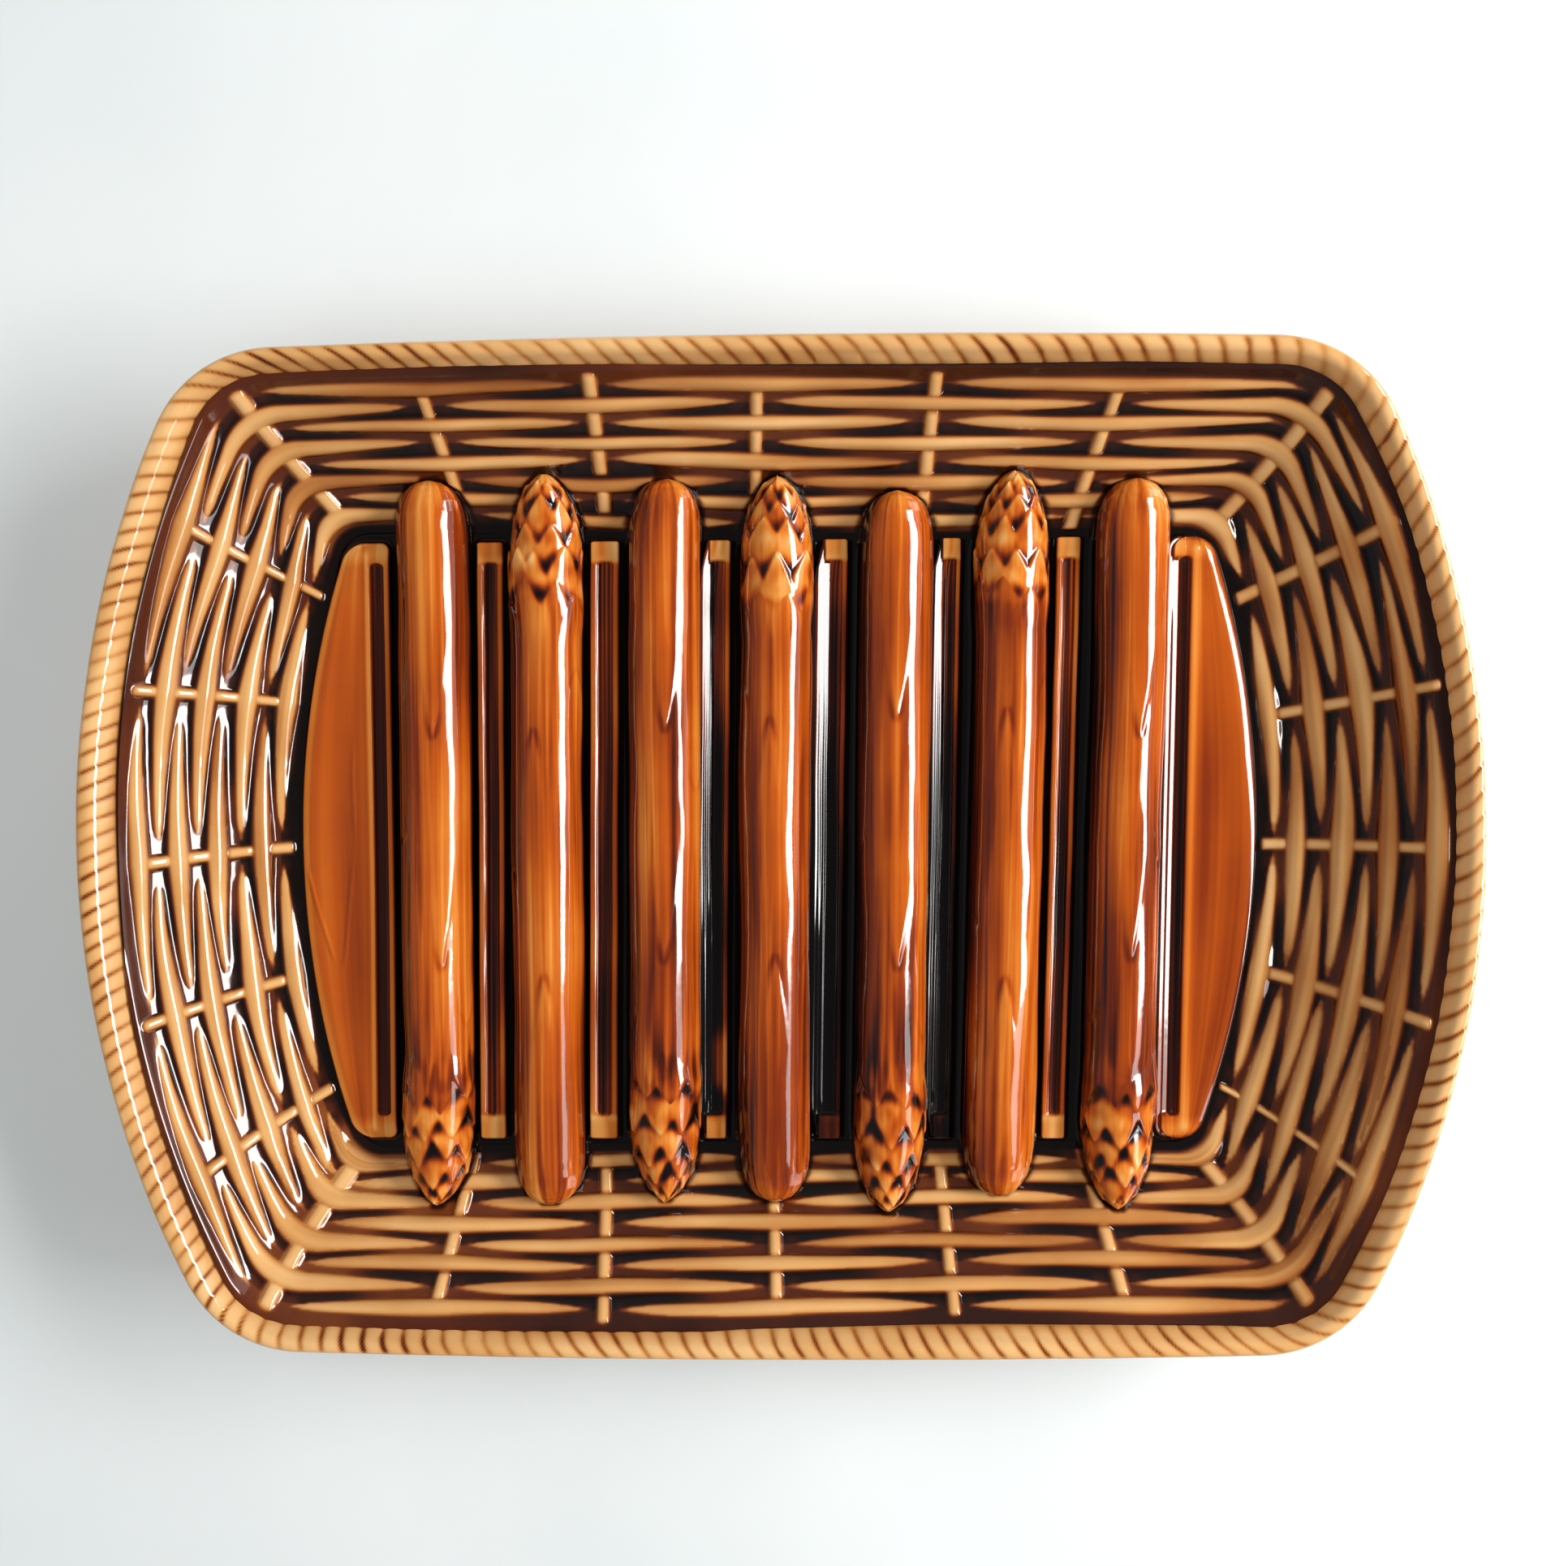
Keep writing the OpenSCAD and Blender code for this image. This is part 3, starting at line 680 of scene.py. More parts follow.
strength = np.clip(1 + 0.35 * noise2(rng, phase.shape, 5, 9, False, True), 0.25, 1.6)
groove = np.exp(-((1 - frac) / 0.16) ** 2) * strength
stain = np.exp(-((1 - frac) / 0.27) ** 2) * strength
swell = np.cos(math.pi * np.minimum(frac, 1.0) / 2) ** 0.9
calm = 1 - 0.85 * np.exp(-((across_t - 0.53) / 0.13) ** 2)[:, None]
Hr = on_top * calm * (0.20 * (swell - 0.72) - 0.15 * groove)
Hr += 0.030 * noise2(rng, Hr.shape, 3, 14, True, True)
RV = RB + RN * Hr[..., None]
depth_mod = 1 + 0.25 * noise1(rng, NR, 18)
Tr = 0.04 + on_top * (0.4 * groove + 0.6 * stain) * (0.27 * depth_mod[None]) * (1 - 0.60 * smooth(0.55, 0.90, across_t))[:, None] + 0.04 * noise2(rng, Hr.shape, 3, 20, True, True) + 0.14 * frac**3 * on_top
# The inner slope and the foot of the rope are made darker: partly glaze gathered there, partly painted shade where the
# rope turns down to the wall.
Tr = Tr + 0.20 * smooth(0.60, 0.97, across_t)[:, None]
Tr = Tr + 0.35 * smooth(0.92, 1.0, across_t)[:, None] * (pz[:, None] < 2.5) + 0.25 * (1 - smooth(-0.5, 1.6, pz))[:, None]
RV[..., 2] = np.minimum(RV[..., 2], SEAT + 6.799)
lim = np.array([HALF_L, HALF_W])
RV[..., :2] = np.clip(RV[..., :2], -lim, lim)
q = outward(RV.reshape(-1, 3), grid_quads(len(pt), NR, wrap_m=True))
rope = piece("rope_rim_glazed", RV, q, MAT_ROPE, {"glaze_and_shade": np.clip(Tr, 0, 1)})
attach(rope, "root"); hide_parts("rope_rim")

# ------------------------------------------------------------------ clay body and foot
NS = 24 * 24
ws = np.arange(NS) * 24.0 / NS
rings, tg = [], []


def add_ring(o, z, t, scale=1.0):
    p = around(o, ws) * scale
    rings.append(np.dstack([p[None], np.full((1, NS, 1), z)])[0])
    tg.append(np.full(NS, t))


for sc in (0.04, 0.2, 0.4, 0.6, 0.8, 0.93):
    add_ring(wall_o(1.0), FOOT, 0.40, sc)
for k, dz, t in ((0.97, 0.0, 0.42), (0.94, 0.0, 0.5), (0.925, 0.05, 0.5), (0.90, 0.5, 0.42), (0.86, 1.5, 0.36)):
    add_ring(wall_o(k), FOOT + dz, t)
for k in np.linspace(0.80, 0.10, 15):
    add_ring(wall_o(k), under_z(k) + 0.15 * math.sin(k * 20), 0.30 + 0.02 * math.sin(k * 37))
add_ring(rope_o(0.80), SEAT - 5.9, 0.26)
add_ring(rope_o(0.55), SEAT - 4.6, 0.22)
add_ring(rope_o(0.34), SEAT - 3.1, 0.20)
add_ring(rope_o(0.20), SEAT - 1.6, 0.30)
add_ring(rope_o(0.16), SEAT - 0.4, 0.36)
add_ring(rope_o(0.22), SEAT + 0.6, 0.6)
add_ring(rope_o(0.5), SEAT + 0.4, 0.9)
add_ring(wall_o(0.10), recess_z(0.10) - 1.0, 1.0)
for k in (0.25, 0.45, 0.65, 0.85):
    add_ring(wall_o(k), recess_z(k) - 1.1, 1.0)
add_ring(wall_o(0.985), WELL - 0.6, 1.0)
add_ring(wall_o(1.01), WELL - 0.05, 1.0)
for sc in (0.985, 0.93, 0.86, 0.75, 0.6, 0.45, 0.3, 0.15, 0.04):
    add_ring(wall_o(1.0), WELL + 0.02, 1.0, sc)
SV = np.array(rings)
m = len(SV)
sq4 = grid_quads(m, NS)
# close the two small holes in the middle with a strip of quads
caps = []
for r in (0, m - 1):
    for i in range(NS // 2 - 1):
        a, b = r * NS + i, r * NS + i + 1
        c, d = r * NS + NS - 2 - i, r * NS + NS - 1 - i
        f4 = [a, b, c, d]
        caps.append(f4 if r else f4[::-1])
V = SV.reshape(-1, 3)
sq4 = outward(V, sq4)
# caps: bottom one faces down, top one faces up
cq = []
for f4 in caps:
    p = V[f4]
    up = np.cross(p[1] - p[0], p[2] - p[0])[2]
    want_up = f4[0] >= (m - 1) * NS
    cq.append(f4 if (up > 0) == want_up else f4[::-1])
tg = np.array(tg)
lump = noise2(rng, tg[:m // 2].shape, 1.5, 14, False, True)
px, py = SV[:m // 2, :, 0], SV[:m // 2, :, 1]
cloudy = 0.6 * np.sin(0.043 * px + 0.9 * np.sin(0.031 * py) + 1.1) + 0.5 * np.sin(0.057 * py - 0.024 * px + 0.4)
flat_below = (np.arange(m // 2) < 6)[:, None]                       # rings across the flat underside
tg[:m // 2] += 0.05 * np.where(flat_below, cloudy, lump)
tray = piece("tray_body_glazed", V, np.concatenate([sq4, np.array(cq)]), MAT_TRAY, {"glaze_and_shade": np.clip(tg, 0, 1)})
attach(tray, "root"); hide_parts("tray_body")

fp = [(1.035, 4.3, 1.0), (1.033, 2.4, 0.9), (1.031, 0.9, 0.75), (1.026, 0.25, 0.3), (1.015, 0.0, 0.0), (0.985, 0.0, 0.0),
      (0.957, 0.0, 0.0), (0.946, 0.25, 0.3), (0.941, 0.9, 0.75), (0.939, 2.4, 0.9), (0.932, 3.6, 1.0), (0.92, 4.4, 1.0),
      (0.98, 4.8, 1.0)]
FV, ft = [], []
for k, z, t in fp:
    p = around(wall_o(k), ws)
    FV.append(np.dstack([p[None], np.full((1, NS, 1), z)])[0])
    ft.append(np.full(NS, t))
FV = np.array(FV)
q = outward(FV.reshape(-1, 3), grid_quads(len(FV), NS, wrap_m=True))
foot = piece("foot_ring_wiped", FV, q, MAT_FOOT, {"glaze_and_shade": np.array(ft) * 0.6})
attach(foot, "root"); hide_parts("foot_ring")


# ------------------------------------------------------------------ pads and slats
def plateau(name, X, Y, top, T, base, mat, node, skirt_t=(0.02, 0.16, 0.75, 0.95, 1.0), fall=0.0):
    """A raised, flat-topped block: a grid of points over its top, then a skirt that rounds
    over its edge, drops and flares into a fillet on the well floor. fall is the edge's slope."""
    m, n = X.shape
    G = np.dstack([X, Y, top])
    order = ([(0, j) for j in range(n)] + [(i, n - 1) for i in range(1, m)]
             + [(m - 1, j) for j in range(n - 2, -1, -1)] + [(i, 0) for i in range(m - 2, 0, -1)])
    idx = np.array([i * n + j for i, j in order])
    edge = G.reshape(-1, 3)[idx]
    tan = np.roll(edge[:, :2], -1, 0) - np.roll(edge[:, :2], 1, 0)
    tan = gauss(tan, 1.2, 0, True)
    nor = np.stack([tan[:, 1], -tan[:, 0]], 1)
    nor /= np.linalg.norm(nor, axis=1, keepdims=True)
    if np.einsum("ij,ij->i", nor, edge[:, :2] - edge[:, :2].mean(0)).mean() < 0:
        nor = -nor
    h = top.max() - base
    prof = [(0.30, h - 0.10), (0.55, h - 0.38), (0.70, h - 0.9), (0.78, h * 0.55), (0.86, h * 0.30), (1.05, h * 0.14),
            (1.45, h * 0.05), (2.0, 0.06), (2.1, -0.5)]
    loops, lt = [], []
    local = gauss(edge[:, 2] - base, 0.8, 0, True)
    for i, (o, z) in enumerate(prof):
        zl = np.minimum(z * local / h, np.maximum(local - fall * o, 0.1 * h)) if z > 0.1 else np.full(len(edge), z)
        loops.append(np.column_stack([edge[:, :2] + nor * o, base + zl]))
        edge_t = gauss(T.ravel()[idx], 1.5, 0, True)
        lt.append(edge_t + (1.0 - edge_t) * np.interp(i, [0, 1, 3, 5, 8], skirt_t))
    V = np.concatenate([G.reshape(-1, 3)] + loops)
    TT = np.concatenate([T.ravel()] + lt)
    k = len(edge)
    q = [grid_quads(m, n, wrap_n=False)]
    prev = idx
    for i in range(len(loops)):
        cur = m * n + i * k + np.arange(k)
        q.append(np.stack([prev, np.roll(prev, -1), np.roll(cur, -1), cur], 1))
        prev = cur
    # flat underside, as a grid like the top
    under0 = len(V)
    GB = G.copy()
    GB[..., 2] = base - 0.5
    V = np.concatenate([V, GB.reshape(-1, 3)])
    TT = np.concatenate([TT, np.ones(m * n)])
    q.append(np.stack([prev, np.roll(prev, -1), np.roll(under0 + idx, -1), under0 + idx], 1))
    q.append(grid_quads(m, n, wrap_n=False, flip=True) + under0)
    q = np.concatenate(q)
    # faces of the top look up, and the rest follow it
    p = V[q[0]]
    qa = q[:(m - 1) * (n - 1)]
    if np.cross(p[1] - p[0], p[2] - p[0])[2] < 0:
        qa = qa[:, ::-1]
        qu = q[-(m - 1) * (n - 1):][:, ::-1]
    else:
        qu = q[-(m - 1) * (n - 1):]
    qs = q[(m - 1) * (n - 1):-(m - 1) * (n - 1)]
    p = V[qs[:k]]
    nn = np.cross(p[:, 1] - p[:, 0], p[:, 2] - p[:, 0])
    if np.einsum("ij,ij->i", nn[:, :2], nor).mean() < 0:
        qs = qs[:, ::-1]
    ob = piece(name, V, np.concatenate([qa, qs, qu]), mat, {"glaze_and_shade": np.clip(TT, 0, 1)})
    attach(ob, "root"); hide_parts(node)
    return ob


def slot_depth(x, y, cx, half_w, half_l):
    dx, dy = np.abs(x - cx) - half_w, np.abs(y) - half_l
    d = np.hypot(np.maximum(dx, 0), np.maximum(dy, 0)) + np.minimum(np.maximum(dx, dy), 0)
    return d


Y_TOP, Y_BOT, S_TOP, S_BOT = 87.4, -85.6, 81.6, -78.8
y_fine = np.unique(np.concatenate([np.linspace(Y_BOT + 0.5, S_BOT - 2, 12), np.linspace(S_BOT - 2, S_BOT + 2, 26),
                                   np.linspace(S_BOT + 2, S_TOP - 2, 190), np.linspace(S_TOP - 2, S_TOP + 2, 26),
                                   np.linspace(S_TOP + 2, Y_TOP - 0.5, 12)]))


def trough(x, y, cx, half_w):
    """Depth share of a drain slot: a smooth trough with rounded ends."""
    dx = np.abs(x - cx) / half_w
    ym, yh = (S_TOP + S_BOT) / 2, (S_TOP - S_BOT) / 2
    dy = (np.abs(y - ym) - (yh - 1.2)) / 1.6
    d = np.sqrt(np.maximum(dx, 0) ** 2.2 + np.maximum(dy, 0) ** 2.2)
    return smooth(1.04, 0.60, d)


SLAT_Q = (1.12, 1.24, 0.93, 1.02, 0.80, 0.98)     # each slat's width, as a share
for n in range(1, 7):
    cx = (n - 3.5) * PITCH
    xs = np.concatenate([np.linspace(-2.75, -2.3, 4)[:-1], np.linspace(-2.3, 2.3, 31), np.linspace(2.3, 2.75, 4)[1:]])
    X, Y = np.meshgrid(xs, y_fine)
    wav = 0.10 * noise1(rng, len(y_fine), 9, False)[:, None]
    ym_, yh_ = (S_TOP + S_BOT) / 2, (S_TOP - S_BOT) / 2
    in_slot = smooth(0.7, -0.9, np.abs(Y - ym_) - yh_)
    gentle = n in (3, 4, 5)
    if gentle:
        # glaze has run in beside the spear on the left: one even slope down into the slot
        share = np.linspace(0, 1, 46)[None] ** 1.0
        left = -2.75 - 3.0 * smooth(7.5, -9.0, np.abs(Y[:, :1] - ym_) - yh_) ** 0.8
        X = left + (2.75 - left) * share
        Y = np.repeat(y_fine[:, None], X.shape[1], 1)
        in_slot = smooth(0.7, -0.9, np.abs(Y - ym_) - yh_)
        inn = np.maximum(in_slot, smooth(-2.65, -2.95, X))
        slope = math.tan(math.radians(26.0 - 0.06 * cx))
        slope = slope * (1 - 0.42 * smooth(-4, -34, Y))
        z_in = np.maximum(1.25 + (np.clip(-1.35 - X, 0, 3.55) + 0.25 * np.maximum(-4.9 - X, 0)) * slope, 1.25 + 1.45 * smooth(1.55, 2.15, X))
        z_in = z_in - 0.12 * np.exp(-((X - 0.4) / 1.1) ** 2)
        z_top = 3.0 - 0.16 * (np.abs(X) / 2.8) ** 3 * (X > -2.8)
        zz = z_top * (1 - inn) + z_in * inn
        tr = smooth(0.3, 1.5, 3.0 - zz)
        ramp_ = smooth(-1.0, -1.9, X) * inn
        rim_r = smooth(1.7, 2.1, X)
        # fine runs along it, stronger towards the lower end
        runs = 0.75 * np.cos(X * 2 * math.pi / (0.95, 1.25, 0.80)[n - 3] + 0.8 * noise1(rng, len(y_fine), 30, False)[:, None]) + 0.5 * noise2(rng, X.shape, 40, 1.6)
        often = (0.0025 + 0.013 * smooth(66, 20, Y) + 0.034 * smooth(30, -25, Y) + 0.005 * np.clip(noise2(rng, X.shape, 22, 20), 0, 2)) * (1.0, 1.0, 1.8)[n - 3] * smooth(84, 66, Y)
        top = WELL + zz + 0.008 * noise2(rng, X.shape, 14, 9) + often * runs * ramp_
    else:
        lit = math.tan(math.radians(26.0 - 0.06 * cx)) * 0.75 * SLAT_Q[n - 1] / 1.75
        tr = np.interp(X, [-2.75, -2.15, -1.95, -1.20, -0.80, 1.35, 1.75, 2.15], [0, 0, 0.14, 0.14 + lit, 0.97, 0.97, 0.6, 0])
        tr = gauss(tr, 0.9, 1) * in_slot
        inn = in_slot
        ramp_ = np.zeros_like(X)
        rim_r = np.zeros_like(X)
        top = WELL + SLAT_H - 1.75 * tr - 0.16 * (np.abs(X) / 2.8) ** 3 + 0.03 * noise2(rng, X.shape, 8, 3)
        top = top + 0.03 * tr * noise2(rng, X.shape, 30, 1.8)
    block = 1 - inn                                                 # the two ends beyond the slot
    soft = gauss(tr, 1.2, 1)
    T = 0.37 - 0.16 * block + 0.25 * smooth(0.0, 0.8, soft) + 0.05 * noise2(rng, X.shape, 12, 4)
    T = T - 0.06 * block * smooth(3.0, 0.5, np.abs(Y - ym_) - yh_)
    T = T + 0.10 * tr * noise2(rng, X.shape, 40, 1.3)
    T = T + 0.12 * smooth(60, 0, Y) * tr + ramp_ * (0.24 + 0.20 * smooth(0, -30, Y) + 0.10 * noise2(rng, X.shape, 40, 1.0))
    dark = (0, 0, 0.25, 0.50, 0.62, 0)[n - 1]
    T = T + dark * smooth(55, -20, Y) * (smooth(-58, -50, Y) if n == 3 else 1)
    T = T + 0.05 * np.maximum(noise1(rng, len(y_fine), 14, False)[:, None], 0)
    if n == 3:
        T = T + 0.4 * smooth(-70, -75, Y) * smooth(-82, -77, Y) - 0.16 * smooth(-50, -60, Y) * smooth(-72, -68, Y) * tr
    X = np.where(X > -2.75, X * SLAT_Q[n - 1], X + 2.75 * (1 - SLAT_Q[n - 1]))
    xt, xb = SLAT_FIT[n - 1]
    lean = xb + (xt - xb) * (Y + 86) / 172
    plateau("drain_slat_%d_glazed" % n, X + cx + wav * 0.6 + lean, Y, top, T, WELL, MAT_SLAT, "drain_slat_%d" % n)

for side, nm in ((1, "right"), (-1, "left")):
    po = PAD_O.copy()
    po[0] -= 0.55
    po[1] = (Y_TOP - Y_BOT) / 2 + 1.0
    ym = (Y_TOP + Y_BOT) / 2
    c = corner(po)
    po[1] = c[1] + po[4]                  # where the corner meets the end
    tt = np.linspace(-1, 1, 300)
    tt = np.sign(tt) * (1 - (1 - np.abs(tt)) ** 1.35)
    yy = tt * po[1] * 0.9995
    ya = np.abs(yy)
    xo = np.where(ya <= po[2] * c[1] / (po[2] - po[4]), po[0] - po[2] + np.sqrt(po[2] ** 2 - yy * yy),
                  c[0] + np.sqrt(np.maximum(0, po[4] ** 2 - (ya - c[1]) ** 2)))
    y = yy + ym
    out_ = 1.0 if side > 0 else 0.0
    xi = PAD_EDGE + 0.55 - 0.3 * out_
    u = np.linspace(0, 7.6, 50)
    sl0 = PAD_EDGE + 1.8 + SLOT_W / 2 + 1.25 * out_
    v = np.linspace(0, 1, 91)[1:]
    X = np.concatenate([np.repeat((xi + u)[None], len(y), 0), xi + 7.6 + (xo[:, None] - xi - 7.6) * v[None]], 1)
    round_ = 3.4 if side > 0 else 2.0                               # the corners by the spear
    cut = round_ - np.sqrt(np.maximum(round_ ** 2 - np.maximum(round_ - (po[1] - ya), 0) ** 2, 0))
    X[:, :50] += cut[:, None] * (1 - u / 7.6)[None]
    Y = np.repeat(y[:, None], X.shape[1], 1)
    half_s = 1.9 if side > 0 else 2.2
    tr = trough(X, Y, sl0, half_s)
    edge_d = xo[:, None] - X
    bead = np.exp(-((X - sl0 - half_s - 0.6 - 0.5 * out_) / (1.30 if side > 0 else 0.75)) ** 2) * smooth(1.5, -1.5, np.abs(Y - ym) - 84)
    roll = 1.25 if side < 0 else 0.50 + 0.56 * smooth(-35, 30, Y)
    rim_d = -smax(-edge_d, np.abs(Y - ym) - po[1], 1.5)
    rolled = roll * np.clip(1 - rim_d / 4.6, 0, 1) ** 2
    top = WELL + SLAT_H - 1.75 * tr - rolled + 0.04 * noise2(rng, X.shape, 14, 8) + 0.12 * bead
    top = top - 0.18 * smooth(0, 6, X - sl0 - 3) * smooth(0, 6, edge_d)
    T = (0.52 - 0.05 * smooth(0, 80, Y) if side > 0 else 0.45) + 0.03 * noise2(rng, X.shape, 30, 12) + 0.012 * noise2(rng, X.shape, 60, 2) - 0.22 * bead
    T = T - 0.10 * (X < sl0) * (1 - smooth(0.1, 0.5, tr)) + 0.30 * smooth(0.1, 0.9, tr) + 0.06 * tr * noise2(rng, X.shape, 40, 1.3)
    T = T + (0.16 * smooth(1.2, 0.0, rim_d) if side > 0 else -0.15 * smooth(2.2, 0.2, edge_d)) - 0.14 * smooth(79.0, 84.0, np.abs(Y - ym))
    if side > 0:
        # glaze has run in beside the spear here too, down to the slot
        inn = smooth(0.7, -0.9, np.abs(Y - (S_TOP + S_BOT) / 2) - (S_TOP - S_BOT) / 2)
        inn = np.maximum(inn, smooth(xi + 1.40, xi + 1.10, X - cut[:, None]))
        xr = sl0 - 1.7 - X
        zl = 1.25 + np.clip(xr, 0, 1.25) * 0.370 + np.clip(xr - 1.25, 0, 0.5) * (0.12 + 0.24 * smooth(52, 76, Y)) + np.clip(xr - 1.75, 0, 4) * 0.330
        zl = zl * inn + SLAT_H * (1 - inn) - rolled * (1 - 0.6 * inn) + 0.006 * noise2(rng, X.shape, 20, 2)
        run_in = smooth(0.0, 0.4, xr) * inn
        top = np.where(X < sl0, WELL + zl, top)
        T = T * (1 - run_in) + (0.66 - 0.14 * smooth(1.6, 2.0, xr)) * run_in
    T = T - 0.06 * smooth(14, 4, edge_d) * (X > sl0 + 4)
    if side < 0:
        # two thin runs of glaze that stand up from the flat of the pad
        for ys_, xs_, wide_ in (((-37, -20, 0, 42), (124.9, 123.6, 121.5, 121.2), 4.0), ((-34, -20, -6), (127.4, 132.0, 135.4), 3.0)):
            path = np.interp(Y[:, :1], ys_, xs_) + 0.22 * noise1(rng, len(y), 9, False)[:, None]
            shown = smooth(ys_[0], ys_[0] + wide_, Y[:, :1]) * smooth(ys_[-1], ys_[-1] - wide_, Y[:, :1])
            shown = shown * np.clip(0.75 + 0.5 * noise1(rng, len(y), 7, False)[:, None], 0.1, 1)
            top = top + 0.38 * shown * np.minimum(smooth(1.7, 0.35, X - path), np.clip((X - path + 0.30) / 0.60, 0, 1))
    lean = (1.1 - 0.5 * (side < 0)) * (Y / 87) - 0.35 - 0.7 * (side < 0) * smooth(0, -90, Y)
    plateau(nm + "_pad_glazed", side * X + lean, Y, top, T, WELL, MAT_PAD, nm + "_pad",
            (0.45, 0.80, 1.0, 1.0, 1.0) if side > 0 else (0.10, 0.42, 0.92, 1.0, 1.0), 0.45)


# ------------------------------------------------------------------ spears
def section(na):
    """Half-unit section of a spear from one foot over the top to the other: x as a share
    of the half width, z as a share of the height, and the angle from upright."""
    phi = np.linspace(-96, 96, na)
    f = np.radians(np.clip(phi, -90, 90))
    x = np.sin(f)
    z = 0.255 + 0.745 * np.cos(f)
    z = z - np.maximum(np.abs(phi) - 90, 0) / 6 * 0.06
    return x, z, phi


NA = 77
sx, sz, phi = section(NA)


def fillet(x):
    """Foot of a spear: points out and up, mm; its last part slopes evenly where glaze has run in."""
    t = math.tan(math.radians(25.8 - 0.06 * x))
    z = 0.13 + 0.8 * t
    return [(0.05, 2.0), (0.11, 1.5), (0.22, 1.05), (0.40, z + 0.17), (0.62, z), (0.82, 0.13 + 0.6 * t), (1.02, 0.13 + 0.4 * t),
            (1.22, 0.13 + 0.2 * t), (1.42, 0.13), (1.8, 0.03), (1.9, -0.8)]


# Tiers of bracts on a spear's tip: the point's distance from the end, the angles round
# the stalk, the length, how fast the sides spread (mm along for 30 degrees) and the height
ODD, EVEN = (-67.5, -22.5, 22.5, 67.5), (-90, -45, 0, 45, 90)
TIERS = [(31.0, ODD, 15.0, 6.2, 0.55, 0.0), (20.8, EVEN, 17.0, 6.4, 0.95, 1.0),
         (12.8, ODD, 13.5, 5.8, 0.95, 1.0), (6.8, EVEN, 11.0, 4.8, 0.90, 1.0),
         (2.3, ODD, 8.5, 3.8, 0.80, 1.0), (0.2, (0,), 6.0, 2.6, 0.60, 1.0)]


def bract(e, ph, rad, e0, ph0, length, spread, amp, hollow, most=29.0):
    """Height of a pointed bract, how near its point is, and the notch that glaze fills
    outside its two edges; e is the distance from the end."""
    v = e - e0
    half = 22.5 * (np.maximum(v, 0) / spread) ** 0.80
    half = np.minimum(half, most)
    side = np.abs(ph - ph0)
    inside = (half - side) * (math.pi / 180) * rad        # mm inside the edge
    mask = smooth(-0.15, 0.40, inside) * smooth(-0.2, 0.3, v)
    s = np.clip(v / length, 0, 1)
    sink = amp * (1 - s ** 1.15) if hollow else amp * (1 - smooth(0.0, 1.0, s))
    crown = 1 - 0.30 * np.minimum(side / np.maximum(half, 4.0), 1) ** 2
    rim = 0.10 * amp * np.exp(-((inside - 0.55) / 0.50) ** 2) * (1 - s)
    off = np.hypot(np.minimum(inside, 0), np.minimum(v, 0))
    # glaze pools where two neighbours of a tier meet, and thins towards their points
    meet = smooth(-0.95, -0.15, (v - spread) / spread)
    notch = np.exp(-(np.maximum(off - 0.3, 0) / (0.75 + 1.5 * meet)) ** 2) * smooth(0.5, -0.15, inside) * smooth(-2.2, 0.2, v) * (0.16 + 0.84 * meet)
    return mask * (sink * crown + rim), mask * (1 - s), notch, mask


